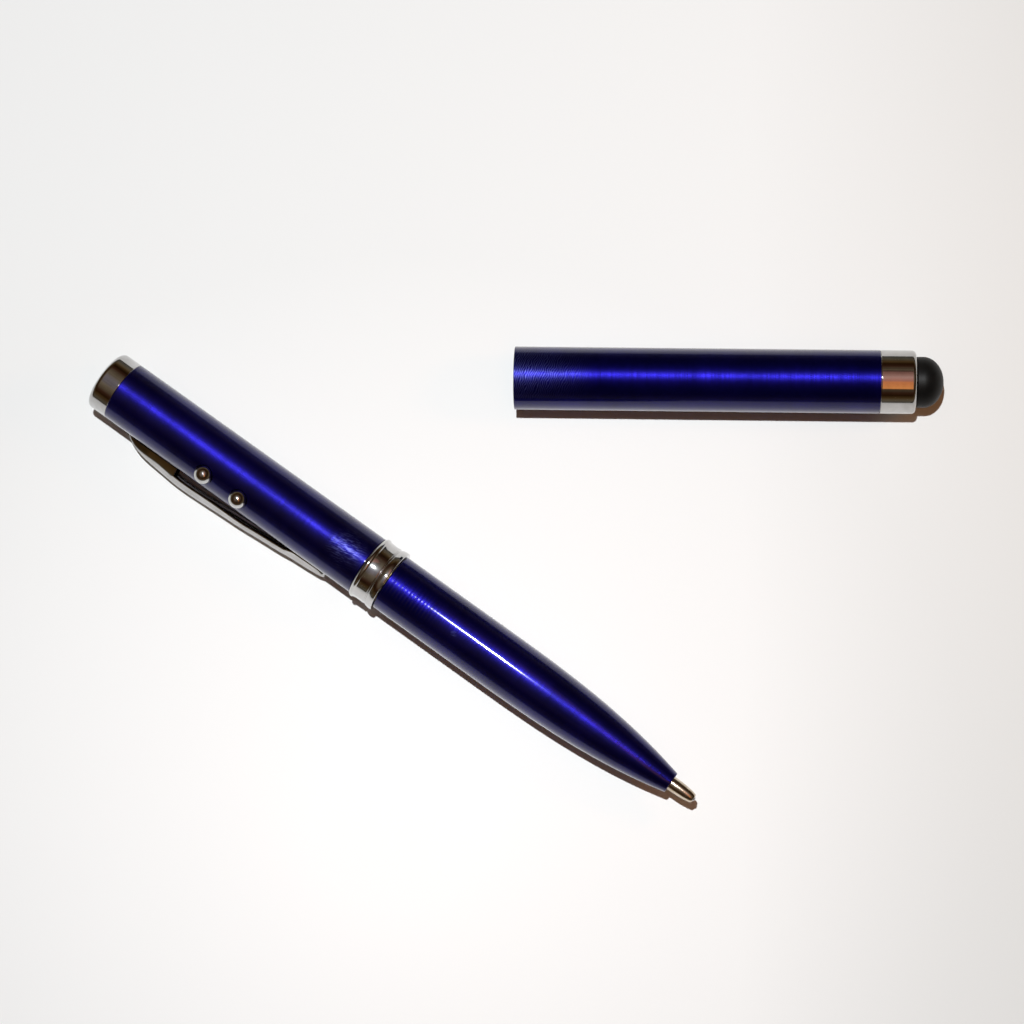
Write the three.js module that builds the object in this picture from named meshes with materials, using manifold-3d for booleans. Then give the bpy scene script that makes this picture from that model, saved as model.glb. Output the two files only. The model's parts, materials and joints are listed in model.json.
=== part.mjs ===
// A light pen with its cap taken off: a metal ball pen whose head holds a lamp and a laser, each with
// its own push button, and a cap that carries a soft touch-screen tip.
// Millimetres, +Z up. The cap lies along +X on the table, with its mouth towards the pen.

import * as THREE from 'three';
import { mergeVertices } from 'three/addons/utils/BufferGeometryUtils.js';
import Module from 'manifold-3d';

const wasm = await Module();
wasm.setup();

// Gaps
const seatGap = 0.05; // between pieces that are pressed, glued or stacked
const runGap = 0.12; // around pieces that slide or turn
const looseGap = 0.3; // around pieces that swing or that pass through a hole

// Outside of the pen, from the head to the writing tip
const bodyDiameter = 11;
const headLength = 3.9;
const headRound = 0.9;
const headPlate = 0.9;
const headSpigotLength = 1.9;
const spigotWall = 0.5;
const barrelLength = 52.9;
const barrelWall = 0.45;
const ringLength = 4.9;
const ringDiameter = 11.75;
const ringWaistDiameter = 11.3;
const ringBeadWidth = 1.1;
const ringFlangeWidth = 1.2;
const ringBlend = 30; // degrees short of a half turn where bead and flange meet the waist
const lowerDiameter = 10.44;
const lowerWall = 0.5;
const lowerLength = 59.2;
const lowerStraight = 20;
const ogivePower = 2.85;
const noseDiameter = 3.8;
const noseWall = 0.55;

// Lamp and laser in the head
const lampDiameter = 3;
const lampFlangeDiameter = 3.8;
const lampFlangeThickness = 1;
const lampLength = 5;
const lampLegLength = 8;
const lampLegSize = 0.5;
const lampLegPitch = 1.9;
const lampOffset = 2.45; // from the pen's axis, towards the buttons
const lampRecess = 0.15; // behind the end face
const laserDiameter = 4.2;
const laserLength = 8.4;
const laserWall = 0.7;
const laserOffset = 1.95; // from the pen's axis, away from the buttons
const laserWindow = 1.8;
const laserFrontWall = 0.6;
const lensThickness = 1.1;
const diodeDiameter = 2.4;
const diodeLength = 3.2;
const diodeFlangeThickness = 0.8;

// Push buttons, their switches and the circuit board
const buttonAngle = 43; // degrees from the zenith, towards the clip
const lightButtonFromHead = 24.85;
const buttonPitch = 7.4;
const buttonDiameter = 3.3;
const buttonRise = 1.75; // above the barrel
const buttonFlangeDiameter = 4.2;
const buttonFlangeThickness = 0.5;
const buttonTravel = 0.4;
const plungerDiameter = 1.8;
const switchWidth = 3.4;
const switchHeight = 1.2;
const boardThickness = 0.8;
const boardWidth = 7;
const boardStart = 11.6;
const boardFromContact = 0.8; // from its end to the contact plate
const resistorLength = 2;
const resistorWidth = 1.2;
const resistorHeight = 0.6;
const carrierStart = 10.4;
const carrierWindow = 5;

// Batteries
const cellCount = 3;
const cellDiameter = 7.9;
const cellThickness = 3.6;
const cellLidDiameter = 6.2;
const cellLidRise = 0.45;
const contactThickness = 0.4;
const springWire = 0.4;
const springRadius = 2.5;
const springCurls = 2.5;
const springLength = 3;
const springSteps = 8;
const springSides = 5;

// Screwed joint in the middle
const sleeveInset = 5; // into the upper barrel
const threadDiameter = 8.3;
const threadDepth = 0.25;
const threadPitch = 1;
const spigotInset = 0.8; // past the ring, into the upper barrel
const spigotPlugLength = 5;
const sleeveNeckWall = 0.6;

// Refill
const refillDiameter = 2.35;
const refillWall = 0.35;
const refillTipDiameter = 2.5;
const refillTipReach = 5; // out of the nose
const refillTipRoot = 4; // inside the nose
const refillTipRimDiameter = 1.32;
const refillTipSpigotLength = 2.5;
const ballDiameter = 1;
const ballShowing = 0.3;
const ballGap = 0.06;
const refillEndWall = 1.2;
const holderStart = 7; // from the start of the lower barrel
const holderLength = 16;

// Clip
const clipAngle = 123; // degrees from the zenith
const clipWidth = 3.7;
const clipTipWidth = 2.8;
const clipRootWidth = 3.2;
const clipThickness = 0.45;
const clipRise = 3.4; // of its outer face above the barrel, at its highest
const clipRootFromHead = 8.3;
const clipTipToRing = 5.5;
const clipNotch = 10.6; // from the root to the end of the walls under its splayed sides
const clipNotchRamp = 0.4;
const clipSideDepth = 1.6; // from its crest to the lower edge of a splayed side
const clipLeastDepth = 0.6;
const clipSideGrowth = 8; // from the root to where the sides have their full depth
const clipSplay = 24; // degrees from straight inwards
const clipLip = 0.2; // turned down at the sides' lower edges
const clipCorner = 0.5; // radius of its rolled edges
const clipCrown = 0.3;
const clipHeelLength = 1.6;
const clipHeelDepth = 1; // of the heel's outer face under the barrel's surface
const clipSlotLength = 3.4;
const clipPadRampIn = [8.8, 6.3]; // from the tip, where the sides grow down to the barrel
const clipPadRampOut = [1.6, 0.7]; // and where they leave it again
const clipNarrowing = 12; // length over which it narrows to the tip
const clipTipRound = 1.5;
const clipTipTaper = 0.4; // share of the width that the rounded tip loses

// Cap
const capTubeLength = 63.1;
const capWall = 0.23;
const capFerruleLength = 6.1;
const capFerruleRound = 0.55;
const capFerruleWall = 0.6;
const capSpigotLength = 3;
const stylusDiameter = 8.8;
const stylusReach = 4.8;
const stylusSkirt = 1.2;
const stylusNeckDiameter = 6;
const stylusNeckLength = 1.6;
const plugDiameter = 8.6;
const plugLength = 2;
const plugStemDiameter = 3;
const plugStemLength = 3.4;

// Where the two halves lie
const penTurn = -34.6; // degrees about Z: the head to the far left, the writing tip to the near right
const capMouth = { x: 71.5, y: 1 }; // from the pen's head end, in the table's plane

// Fineness
const outerSteps = 40;
const innerSteps = 24;
const buttonSteps = 16;
const arcSteps = 4;
const domeSteps = 8;
const ogiveSteps = 12;
const clipSteps = 40;
const clipBend = [24, 46, 68, 90]; // degrees round each rolled edge
const gapSamples = 40; // per curl of the spring

// Sizes that follow
const bodyRadius = bodyDiameter / 2;
const barrelBore = bodyRadius - barrelWall;
const lowerRadius = lowerDiameter / 2;
const lowerBore = lowerRadius - lowerWall;
const noseRadius = noseDiameter / 2;
const refillBore = refillDiameter / 2 + runGap;
const threadBore = threadDiameter / 2;
const threadRadius = threadBore - runGap;
const capBore = bodyRadius - capWall;
const barrelStart = headLength;
const ringStart = barrelStart + barrelLength;
const lowerStart = ringStart + ringLength;
const noseEnd = lowerStart + lowerLength;
const tipEnd = noseEnd + refillTipReach;
const spigotStart = ringStart - spigotInset;
const springStart = spigotStart - seatGap - springLength;
const cellsStart = springStart - seatGap - cellCount * (cellThickness + seatGap);
const contactStart = cellsStart - seatGap - contactThickness;
const sleeveStart = ringStart - sleeveInset;
const clipReach = ringStart - clipTipToRing - clipRootFromHead; // from its root to its tip
const radians = THREE.MathUtils.degToRad;

// Geometry helpers

// Turns a profile of [along, radius] points about the X axis.
function turned(profile, steps) {
  const points = profile.map(([along, radius]) => new THREE.Vector2(radius, along));
  return new THREE.LatheGeometry(points, steps).rotateZ(-Math.PI / 2);
}

// The same, about the Z axis.
function turnedUpright(profile, steps) {
  const points = profile.map(([along, radius]) => new THREE.Vector2(radius, along));
  return new THREE.LatheGeometry(points, steps).rotateX(Math.PI / 2);
}

// A tube along X between two stations.
function tubeProfile(start, end, inner, outer) {
  return [
    [start, inner],
    [start, outer],
    [end, outer],
    [end, inner],
    [start, inner],
  ];
}

// Points of a quarter ellipse round a centre, from one angle to another, in degrees from +along.
function arc(along, radius, sizeAlong, sizeRadius, from, to, steps = arcSteps) {
  return Array.from({ length: steps + 1 }, (_, i) => {
    const angle = radians(from + ((to - from) * i) / steps);
    return [along + sizeAlong * Math.cos(angle), radius + sizeRadius * Math.sin(angle)];
  });
}

// A solid for cutting and joining: equal vertices are merged and collapsed triangles dropped.
function solidOf(geometry) {
  const bare = geometry.clone();
  bare.deleteAttribute('normal');
  bare.deleteAttribute('uv');
  const merged = mergeVertices(bare, 1e-5);
  const source = merged.index.array;
  const triangles = [];
  for (let i = 0; i < source.length; i += 3) {
    const [a, b, c] = [source[i], source[i + 1], source[i + 2]];
    if (a !== b && b !== c && c !== a) triangles.push(a, b, c);
  }
  const mesh = new wasm.Mesh({
    numProp: 3,
    vertProperties: new Float32Array(merged.attributes.position.array),
    triVerts: new Uint32Array(triangles),
  });
  return new wasm.Manifold(mesh);
}

function geometryOf(solid) {
  const mesh = solid.getMesh();
  const geometry = new THREE.BufferGeometry();
  geometry.setAttribute('position', new THREE.BufferAttribute(mesh.vertProperties, 3));
  geometry.setIndex(new THREE.BufferAttribute(mesh.triVerts, 1));
  geometry.computeVertexNormals();
  return geometry;
}

function cut(geometry, ...tools) {
  return geometryOf(tools.reduce((solid, tool) => solid.subtract(solidOf(tool)), solidOf(geometry)));
}

function join(geometry, ...others) {
  return geometryOf(others.reduce((solid, other) => solid.add(solidOf(other)), solidOf(geometry)));
}

function common(geometry, other) {
  return geometryOf(solidOf(geometry).intersect(solidOf(other)));
}

// A rod along X from one station to another.
function rod(start, end, radius, steps = innerSteps) {
  const length = end - start;
  return new THREE.CylinderGeometry(radius, radius, length, steps)
    .rotateZ(-Math.PI / 2)
    .translate(start + length / 2, 0, 0);
}

// A rod that stands along Z between two levels.
function post(bottom, top, radius, steps = innerSteps) {
  const height = top - bottom;
  return new THREE.CylinderGeometry(radius, radius, height, steps)
    .rotateX(Math.PI / 2)
    .translate(0, 0, bottom + height / 2);
}

// A block from its lowest to its highest corner.
function block(low, high) {
  const size = high.map((value, i) => value - low[i]);
  const centre = high.map((value, i) => (value + low[i]) / 2);
  return new THREE.BoxGeometry(...size).translate(...centre);
}

// A closed sheet between two grids of points, the outer one and the inner one under it.
function sheet(outer, inner) {
  const rows = outer.length;
  const columns = outer[0].length;
  const points = [...outer.flat(), ...inner.flat()];
  const top = (i, j) => i * columns + j;
  const under = (i, j) => rows * columns + i * columns + j;
  const index = [];
  const quad = (a, b, c, d) => index.push(a, b, c, a, c, d);
  for (let i = 0; i < rows - 1; i += 1) {
    for (let j = 0; j < columns - 1; j += 1) {
      quad(top(i, j), top(i + 1, j), top(i + 1, j + 1), top(i, j + 1));
      quad(under(i, j), under(i, j + 1), under(i + 1, j + 1), under(i + 1, j));
    }
    quad(top(i, 0), under(i, 0), under(i + 1, 0), top(i + 1, 0));
    const last = columns - 1;
    quad(top(i, last), top(i + 1, last), under(i + 1, last), under(i, last));
  }
  for (let j = 0; j < columns - 1; j += 1) {
    quad(top(0, j), top(0, j + 1), under(0, j + 1), under(0, j));
    quad(top(rows - 1, j), under(rows - 1, j), under(rows - 1, j + 1), top(rows - 1, j + 1));
  }
  const geometry = new THREE.BufferGeometry();
  const places = points.flatMap((point) => point.toArray());
  geometry.setAttribute('position', new THREE.Float32BufferAttribute(places, 3));
  geometry.setIndex(index);
  geometry.computeVertexNormals();
  return geometry;
}

// Materials
const finishes = {
  chrome: { color: 0xc9c6c0, roughness: 0.08, metalness: 1 },
  blueLacquer: { color: 0x14103c, roughness: 0.18, metalness: 0.7 },
  brass: { color: 0xb99a4e, roughness: 0.3, metalness: 1 },
  nickel: { color: 0xb4aa98, roughness: 0.2, metalness: 1 },
  steel: { color: 0xa9abad, roughness: 0.3, metalness: 1 },
  blackPlastic: { color: 0x18181a, roughness: 0.5, metalness: 0 },
  whitePlastic: { color: 0xd9d9d4, roughness: 0.5, metalness: 0 },
  board: { color: 0x1f6a3a, roughness: 0.5, metalness: 0 },
  clear: { color: 0xe9f1f6, roughness: 0.05, metalness: 0 },
  rubber: { color: 0x101010, roughness: 0.7, metalness: 0 },
  carbide: { color: 0x6f6f72, roughness: 0.35, metalness: 1 },
};

function piece(name, geometry, finish) {
  const mesh = new THREE.Mesh(geometry, new THREE.MeshStandardMaterial(finishes[finish]));
  mesh.name = name;
  return mesh;
}

// Groups. In the pen's group X runs from the head to the writing tip, along the pen's axis. In the
// groups for the buttons and for the clip, Z points out of the barrel where they sit.
const lightPen = new THREE.Group();
const pen = new THREE.Group();
pen.rotation.z = radians(penTurn);
pen.position.z = ringDiameter / 2;
const buttonSide = new THREE.Group();
buttonSide.rotation.x = radians(buttonAngle);
const clipSide = new THREE.Group();
clipSide.rotation.x = radians(clipAngle);
const cap = new THREE.Group();
cap.position.set(capMouth.x, capMouth.y, bodyRadius);
lightPen.add(pen, cap);
pen.add(buttonSide, clipSide);

// Head: a turned ferrule with one hole for the lamp and one for the laser beam
const ferruleSpigot = barrelBore - seatGap;
const ferruleBore = ferruleSpigot - spigotWall;

function headFerrule() {
  const shell = turned(
    [
      [0, 0],
      ...arc(headRound, bodyRadius - headRound, headRound, headRound, 180, 90),
      [headLength, bodyRadius],
      [headLength, ferruleSpigot],
      [headLength + headSpigotLength, ferruleSpigot],
      [headLength + headSpigotLength, ferruleBore],
      [headPlate, ferruleBore],
      [headPlate, 0],
    ],
    outerSteps,
  );
  const lampHole = rod(-1, headPlate + 1, lampDiameter / 2 + runGap).translate(0, 0, lampOffset);
  const laserHole = rod(-1, headPlate + 1, laserWindow / 2).translate(0, 0, -laserOffset);
  return cut(shell, lampHole, laserHole);
}
buttonSide.add(piece('head_ferrule', headFerrule(), 'chrome'));

// Lamp: a domed bulb on a flange, with two legs to the circuit board
const lampFlangeStart = lampLength - lampFlangeThickness;
const lampLegHalf = lampLegSize / 2;

function lamp() {
  const radius = lampDiameter / 2;
  const bulb = turned(
    [
      ...arc(radius, 0, radius, radius, 180, 90),
      [lampFlangeStart, radius],
      [lampFlangeStart, lampFlangeDiameter / 2],
      [lampLength, lampFlangeDiameter / 2],
      [lampLength, 0],
    ],
    innerSteps,
  );
  const legs = [-1, 1].map((side) => {
    const y = (side * lampLegPitch) / 2;
    return block(
      [lampLength - lampLegHalf, y - lampLegHalf, -lampLegHalf],
      [lampLength + lampLegLength, y + lampLegHalf, lampLegHalf],
    );
  });
  return join(bulb, ...legs);
}
const lampPiece = piece('led_lamp', lamp(), 'clear');
lampPiece.position.set(lampRecess, 0, lampOffset);
buttonSide.add(lampPiece);

// Laser: a brass housing with a lens at its window and a diode pressed in from behind
const laserBore = laserDiameter / 2 - laserWall;
const laserGroup = new THREE.Group();
laserGroup.position.set(headPlate + seatGap, 0, -laserOffset);
buttonSide.add(laserGroup);

function laserHousing() {
  return turned(
    [
      [0, laserWindow / 2],
      [0, laserDiameter / 2],
      [laserLength, laserDiameter / 2],
      [laserLength, laserBore],
      [laserFrontWall, laserBore],
      [laserFrontWall, laserWindow / 2],
      [0, laserWindow / 2],
    ],
    innerSteps,
  );
}

function laserLens() {
  const edge = laserBore - seatGap;
  const back = lensThickness / 2;
  return turned([[0, 0], [0, edge], [back, edge], ...arc(back, 0, back, edge, 90, 0)], innerSteps);
}

function laserDiode() {
  return turned(
    [
      [-diodeLength, 0],
      [-diodeLength, diodeDiameter / 2],
      [0, diodeDiameter / 2],
      [0, laserBore + laserWall / 2],
      [diodeFlangeThickness, laserBore + laserWall / 2],
      [diodeFlangeThickness, 0],
    ],
    innerSteps,
  );
}
const lensPiece = piece('laser_lens', laserLens(), 'clear');
lensPiece.position.x = laserFrontWall + seatGap;
const diodePiece = piece('laser_diode', laserDiode(), 'steel');
diodePiece.position.x = laserLength + seatGap;
laserGroup.add(piece('laser_housing', laserHousing(), 'brass'), lensPiece, diodePiece);

// Holder: a plastic plug in the ferrule that carries the lamp and the laser
function lampHolder() {
  const end = lampRecess + lampFlangeStart - seatGap;
  const plug = rod(headPlate + seatGap, end, ferruleBore - seatGap, outerSteps);
  const lampSeat = rod(0, end + 1, lampDiameter / 2 + seatGap).translate(0, 0, lampOffset);
  const laserSeat = rod(0, end + 1, laserDiameter / 2 + seatGap).translate(0, 0, -laserOffset);
  return cut(plug, lampSeat, laserSeat);
}
buttonSide.add(piece('lamp_holder', lampHolder(), 'blackPlastic'));

// Buttons: a domed pin with a flange that keeps it in the barrel, over a plunger and its switch
const buttonRadius = buttonDiameter / 2;
const buttonFlangeRadius = buttonFlangeDiameter / 2;
const buttonFlangeTop = Math.sqrt(barrelBore ** 2 - buttonFlangeRadius ** 2) - runGap - seatGap;
const buttonBottom = buttonFlangeTop - buttonFlangeThickness;
const boardLevel = lampOffset - lampLegHalf - seatGap;
const switchBottom = boardLevel + seatGap;
const switchTop = switchBottom + switchHeight;
const plungerSink = 0.2;
const buttonStations = {
  light: lightButtonFromHead,
  laser: lightButtonFromHead + buttonPitch,
};

function button() {
  const shoulder = bodyRadius + buttonRise - buttonRadius;
  return turnedUpright(
    [
      [buttonBottom, 0],
      [buttonBottom, buttonFlangeRadius],
      [buttonFlangeTop, buttonFlangeRadius],
      [buttonFlangeTop, buttonRadius],
      ...arc(shoulder, 0, buttonRadius, buttonRadius, 90, 0, domeSteps),
    ],
    buttonSteps,
  );
}

function plunger() {
  return post(switchTop - plungerSink, buttonBottom - seatGap, plungerDiameter / 2);
}

function tactSwitch() {
  const half = switchWidth / 2;
  const body = block([-half, -half, switchBottom], [half, half, switchTop]);
  const wellBottom = switchTop - plungerSink - buttonTravel - runGap;
  const well = post(wellBottom, switchTop + 1, plungerDiameter / 2 + runGap);
  return cut(body, well);
}

for (const [use, station] of Object.entries(buttonStations)) {
  const stack = new THREE.Group();
  stack.position.x = station;
  stack.add(
    piece(`${use}_button`, button(), 'chrome'),
    piece(`${use}_plunger`, plunger(), 'blackPlastic'),
    piece(`${use}_switch`, tactSwitch(), 'steel'),
  );
  buttonSide.add(stack);
}

// Circuit board with its resistor, between two halves of a plastic carrier
const boardUnder = boardLevel - boardThickness;
const boardEnd = contactStart - boardFromContact;
const carrierEnd = contactStart - seatGap;
const carrierRadius = barrelBore - runGap;
const coverStart = lampRecess + lampLength + lampLegLength + looseGap;
const resistorStart = buttonStations.light - carrierWindow / 2 - 2 * looseGap - resistorLength;
const resistorTop = boardLevel + seatGap + resistorHeight;

function carrierBase() {
  const bar = rod(carrierStart, carrierEnd, carrierRadius, outerSteps);
  const lowCorner = [0, -bodyRadius, -bodyRadius];
  const highCorner = [carrierEnd + 1, bodyRadius, boardUnder - seatGap];
  return common(bar, block(lowCorner, highCorner));
}

function carrierCover() {
  const bar = rod(coverStart, carrierEnd, carrierRadius, outerSteps);
  const lowCorner = [0, -bodyRadius, boardLevel + seatGap];
  const highCorner = [carrierEnd + 1, bodyRadius, bodyRadius];
  const lid = common(bar, block(lowCorner, highCorner));
  const windows = Object.values(buttonStations).map((station) =>
    post(0, bodyRadius, carrierWindow / 2).translate(station, 0, 0),
  );
  const pocketHalf = resistorWidth / 2 + looseGap;
  const pocket = block(
    [resistorStart - looseGap / 2, -pocketHalf, 0],
    [resistorStart + resistorLength + looseGap, pocketHalf, resistorTop + looseGap],
  );
  return cut(lid, ...windows, pocket);
}
const boardHalf = boardWidth / 2;
const resistorHalf = resistorWidth / 2;
buttonSide.add(
  piece(
    'circuit_board',
    block([boardStart, -boardHalf, boardUnder], [boardEnd, boardHalf, boardLevel]),
    'board',
  ),
  piece(
    'resistor',
    block(
      [resistorStart, -resistorHalf, boardLevel + seatGap],
      [resistorStart + resistorLength, resistorHalf, resistorTop],
    ),
    'blackPlastic',
  ),
  piece('carrier_base', carrierBase(), 'whitePlastic'),
  piece('carrier_cover', carrierCover(), 'whitePlastic'),
);

// Upper barrel: a thin tube with two button holes and the clip's slot
const clipRootHalf = clipRootWidth / 2;
const slotStart = clipRootFromHead - clipSlotLength / 3;

function upperBarrel() {
  const tube = turned(tubeProfile(barrelStart, ringStart, barrelBore, bodyRadius), outerSteps);
  const holes = Object.values(buttonStations).map((station) =>
    post(1, bodyRadius + 1, buttonRadius + runGap).translate(station, 0, 0).rotateX(radians(buttonAngle)),
  );
  const slotHalf = clipRootHalf + looseGap / 2;
  const slot = block([slotStart, -slotHalf, 1], [slotStart + clipSlotLength, slotHalf, bodyRadius + 1]);
  return cut(tube, ...holes, slot.rotateX(radians(clipAngle)));
}
pen.add(piece('upper_barrel', upperBarrel(), 'blueLacquer'));

// Batteries: button cells in an insulating sleeve, between a contact plate and a spring
const cellRadius = cellDiameter / 2;

function cell() {
  const can = cellThickness - cellLidRise;
  const edge = cellLidRise / 2;
  return turned(
    [
      [0, 0],
      [0, cellRadius - edge],
      [edge, cellRadius],
      [can, cellRadius],
      [can, cellLidDiameter / 2],
      [cellThickness, cellLidDiameter / 2],
      [cellThickness, 0],
    ],
    innerSteps,
  );
}
for (let i = 0; i < cellCount; i += 1) {
  const cellPiece = piece(`battery_cell_${i + 1}`, cell(), 'steel');
  cellPiece.position.x = cellsStart + i * (cellThickness + seatGap);
  pen.add(cellPiece);
}
const contactPlate = rod(contactStart, contactStart + contactThickness, cellRadius);
const batterySleeve = turned(
  tubeProfile(contactStart, sleeveStart - seatGap, cellRadius + seatGap, barrelBore - seatGap),
  innerSteps,
);
pen.add(
  piece('contact_plate', contactPlate, 'brass'),
  piece('battery_sleeve', batterySleeve, 'whitePlastic'),
);

// Battery spring: one wire wound as a helix
class Helix extends THREE.Curve {
  getPoint(t, target = new THREE.Vector3()) {
    const angle = 2 * Math.PI * springCurls * t;
    const along = springWire / 2 + (springLength - springWire) * t;
    return target.set(along, springRadius * Math.cos(angle), springRadius * Math.sin(angle));
  }
}

function batterySpring() {
  const corners = Array.from({ length: springSides }, (_, i) => {
    const angle = (2 * Math.PI * i) / springSides;
    return new THREE.Vector2(Math.cos(angle), Math.sin(angle)).multiplyScalar(springWire / 2);
  });
  return new THREE.ExtrudeGeometry(new THREE.Shape(corners), {
    extrudePath: new Helix(),
    steps: springSteps * springCurls,
    bevelEnabled: false,
  });
}

// The least gap between one curl and the next, on points half a curl or more apart along the wire.
function springGap() {
  const helix = new Helix();
  const count = gapSamples * springCurls;
  const points = Array.from({ length: count + 1 }, (_, i) => helix.getPoint(i / count));
  let least = Infinity;
  points.forEach((p, i) => {
    points.slice(i + gapSamples / 2).forEach((q) => {
      least = Math.min(least, p.distanceTo(q) - springWire);
    });
  });
  return least;
}
console.log(`battery spring: least gap between curls ${springGap().toFixed(2)} mm`);
const springPiece = piece('battery_spring', batterySpring(), 'nickel');
springPiece.position.x = springStart;
pen.add(springPiece);

// Screwed joint: a threaded sleeve and the chrome ring on the upper barrel, a spigot on the lower one
const sleeveEnd = lowerStart - ringFlangeWidth;
const sleeveNeck = threadBore + sleeveNeckWall;

function jointSleeve() {
  return turned(
    [
      [sleeveStart, threadBore],
      [sleeveStart, barrelBore - seatGap],
      [ringStart, barrelBore - seatGap],
      [ringStart, sleeveNeck],
      [sleeveEnd, sleeveNeck],
      [sleeveEnd, threadBore],
      [sleeveStart, threadBore],
    ],
    innerSteps,
  );
}

// The ring's outside is a rounded bead, a hollowed waist and a flared flange.
function centreRing() {
  const start = ringStart + seatGap;
  const end = lowerStart - seatGap;
  const rim = ringDiameter / 2;
  const waist = ringWaistDiameter / 2;
  const bead = ringBeadWidth / 2;
  const flange = ringFlangeWidth / 2;
  const middle = (start + ringBeadWidth + end - ringFlangeWidth) / 2;
  const hollow = (end - ringFlangeWidth - start - ringBeadWidth) / 2;
  return turned(
    [
      [start, sleeveNeck + seatGap],
      [start, rim - bead],
      ...arc(start + bead, rim - bead, bead, bead, 180, ringBlend),
      ...arc(middle, rim - bead / 2, hollow, rim - bead / 2 - waist, -180, 0).slice(1, -1),
      ...arc(end - flange, rim - flange, flange, flange, 180 - ringBlend, 0),
      [end, threadRadius + runGap],
      [sleeveEnd + seatGap, threadRadius + runGap],
      [sleeveEnd + seatGap, sleeveNeck + seatGap],
      [start, sleeveNeck + seatGap],
    ],
    outerSteps,
  );
}

function threadedSpigot() {
  const threadEnd = lowerStart - seatGap;
  const turns = Math.floor((threadEnd - spigotStart) / threadPitch) - 1;
  const thread = Array.from({ length: turns }, (_, i) => {
    const crest = spigotStart + (i + 0.5) * threadPitch;
    return [
      [crest, threadRadius],
      [crest + threadPitch / 2, threadRadius - threadDepth],
    ];
  }).flat();
  const plug = lowerBore - seatGap;
  const plugEnd = lowerStart + spigotPlugLength;
  return turned(
    [
      [spigotStart, 0],
      [spigotStart, threadRadius - threadDepth],
      ...thread,
      [threadEnd, threadRadius - threadDepth],
      [lowerStart, threadRadius - threadDepth],
      [lowerStart, plug],
      [plugEnd, plug],
      [plugEnd, refillBore],
      [spigotStart + refillEndWall, refillBore],
      [spigotStart + refillEndWall, 0],
    ],
    innerSteps,
  );
}
pen.add(
  piece('joint_sleeve', jointSleeve(), 'brass'),
  piece('centre_ring', centreRing(), 'chrome'),
  piece('threaded_spigot', threadedSpigot(), 'brass'),
);

// Lower barrel: straight, then an ogive down to the nose
const ogiveLength = lowerLength - lowerStraight;

function ogive(along) {
  const share = Math.max(0, (along - lowerStraight) / ogiveLength);
  return lowerRadius - (lowerRadius - noseRadius) * share ** ogivePower;
}

function lowerBarrel() {
  const noseBore = refillTipDiameter / 2 + runGap;
  const stations = Array.from(
    { length: ogiveSteps + 1 },
    (_, i) => lowerStraight + (ogiveLength * i) / ogiveSteps,
  );
  const outside = stations.map((along) => [along, ogive(along)]);
  const inside = stations
    .filter((along) => along < lowerLength - noseWall && ogive(along) - lowerWall > noseBore + seatGap)
    .map((along) => [along, ogive(along) - lowerWall]);
  const throat = inside[inside.length - 1][0] + noseWall;
  return turned(
    [
      [0, lowerBore],
      [0, lowerRadius],
      ...outside,
      [lowerLength, noseBore],
      [throat, noseBore],
      ...inside.reverse(),
      [0, lowerBore],
    ],
    outerSteps,
  );
}
const lowerPiece = piece('lower_barrel', lowerBarrel(), 'blueLacquer');
lowerPiece.position.x = lowerStart + seatGap;
pen.add(lowerPiece);

// Refill: a brass tube in a plastic guide, a tapered writing tip and its ball
const refillStart = spigotStart + refillEndWall + looseGap;
const refillTubeEnd = noseEnd - refillTipRoot;
const refillRadius = refillDiameter / 2;

function refillHolder() {
  const rim = lowerBore - runGap;
  const waist = (rim + refillBore) / 2;
  const flange = holderLength / 8;
  return turned(
    [
      [0, refillBore],
      [0, rim],
      [flange, rim],
      [flange, waist],
      [holderLength - flange, waist],
      [holderLength - flange, rim],
      [holderLength, rim],
      [holderLength, refillBore],
      [0, refillBore],
    ],
    innerSteps,
  );
}

function refillTip() {
  const base = refillTipDiameter / 2;
  const rim = refillTipRimDiameter / 2;
  const spigot = refillRadius - refillWall - seatGap;
  const ballRadius = ballDiameter / 2;
  const reach = refillTipRoot + refillTipReach;
  const rimAt = reach - ballShowing;
  const ballAt = reach - ballRadius;
  const socket = ballRadius + ballGap;
  const mouth = THREE.MathUtils.radToDeg(Math.acos((rimAt - ballAt) / socket));
  const taper = arc(refillTipRoot, rim, rimAt - refillTipRoot, base - rim, 90, 0, domeSteps);
  return turned(
    [
      [-refillTipSpigotLength, 0],
      [-refillTipSpigotLength, spigot],
      [seatGap, spigot],
      [seatGap, base],
      ...taper,
      ...arc(ballAt, 0, socket, socket, mouth, 180),
    ],
    innerSteps,
  );
}

function tipBall() {
  const radius = ballDiameter / 2;
  return turned(arc(0, 0, radius, radius, 180, 0, domeSteps), buttonSteps);
}
const refillTubePiece = piece(
  'refill_tube',
  turned(tubeProfile(refillStart, refillTubeEnd, refillRadius - refillWall, refillRadius), innerSteps),
  'brass',
);
const holderPiece = piece('refill_holder', refillHolder(), 'whitePlastic');
holderPiece.position.x = lowerStart + holderStart;
const refillTipPiece = piece('refill_tip', refillTip(), 'nickel');
refillTipPiece.position.x = refillTubeEnd;
const ballPiece = piece('tip_ball', tipBall(), 'carbide');
ballPiece.position.x = tipEnd - ballDiameter / 2;
pen.add(holderPiece, refillTubePiece, refillTipPiece, ballPiece);

// Clip: a narrow crowned strip with splayed sides. It comes out of the slot and arches over the
// barrel. Walls under its sides fill the first part, and near the tip the sides rest on the barrel.
const clipLine = [
  [0.015, 0.2],
  [0.063, 0.555],
  [0.109, 0.72],
  [0.156, 0.83],
  [0.202, 0.905],
  [0.272, 0.99],
  [0.342, 1],
  [0.412, 0.95],
  [0.505, 0.884],
  [0.598, 0.83],
  [0.691, 0.735],
  [0.784, 0.65],
  [0.853, 0.584],
  [0.9, 0.552],
  [0.947, 0.5],
  [1, 0.42],
]; // shares of the reach and of the rise

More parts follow.
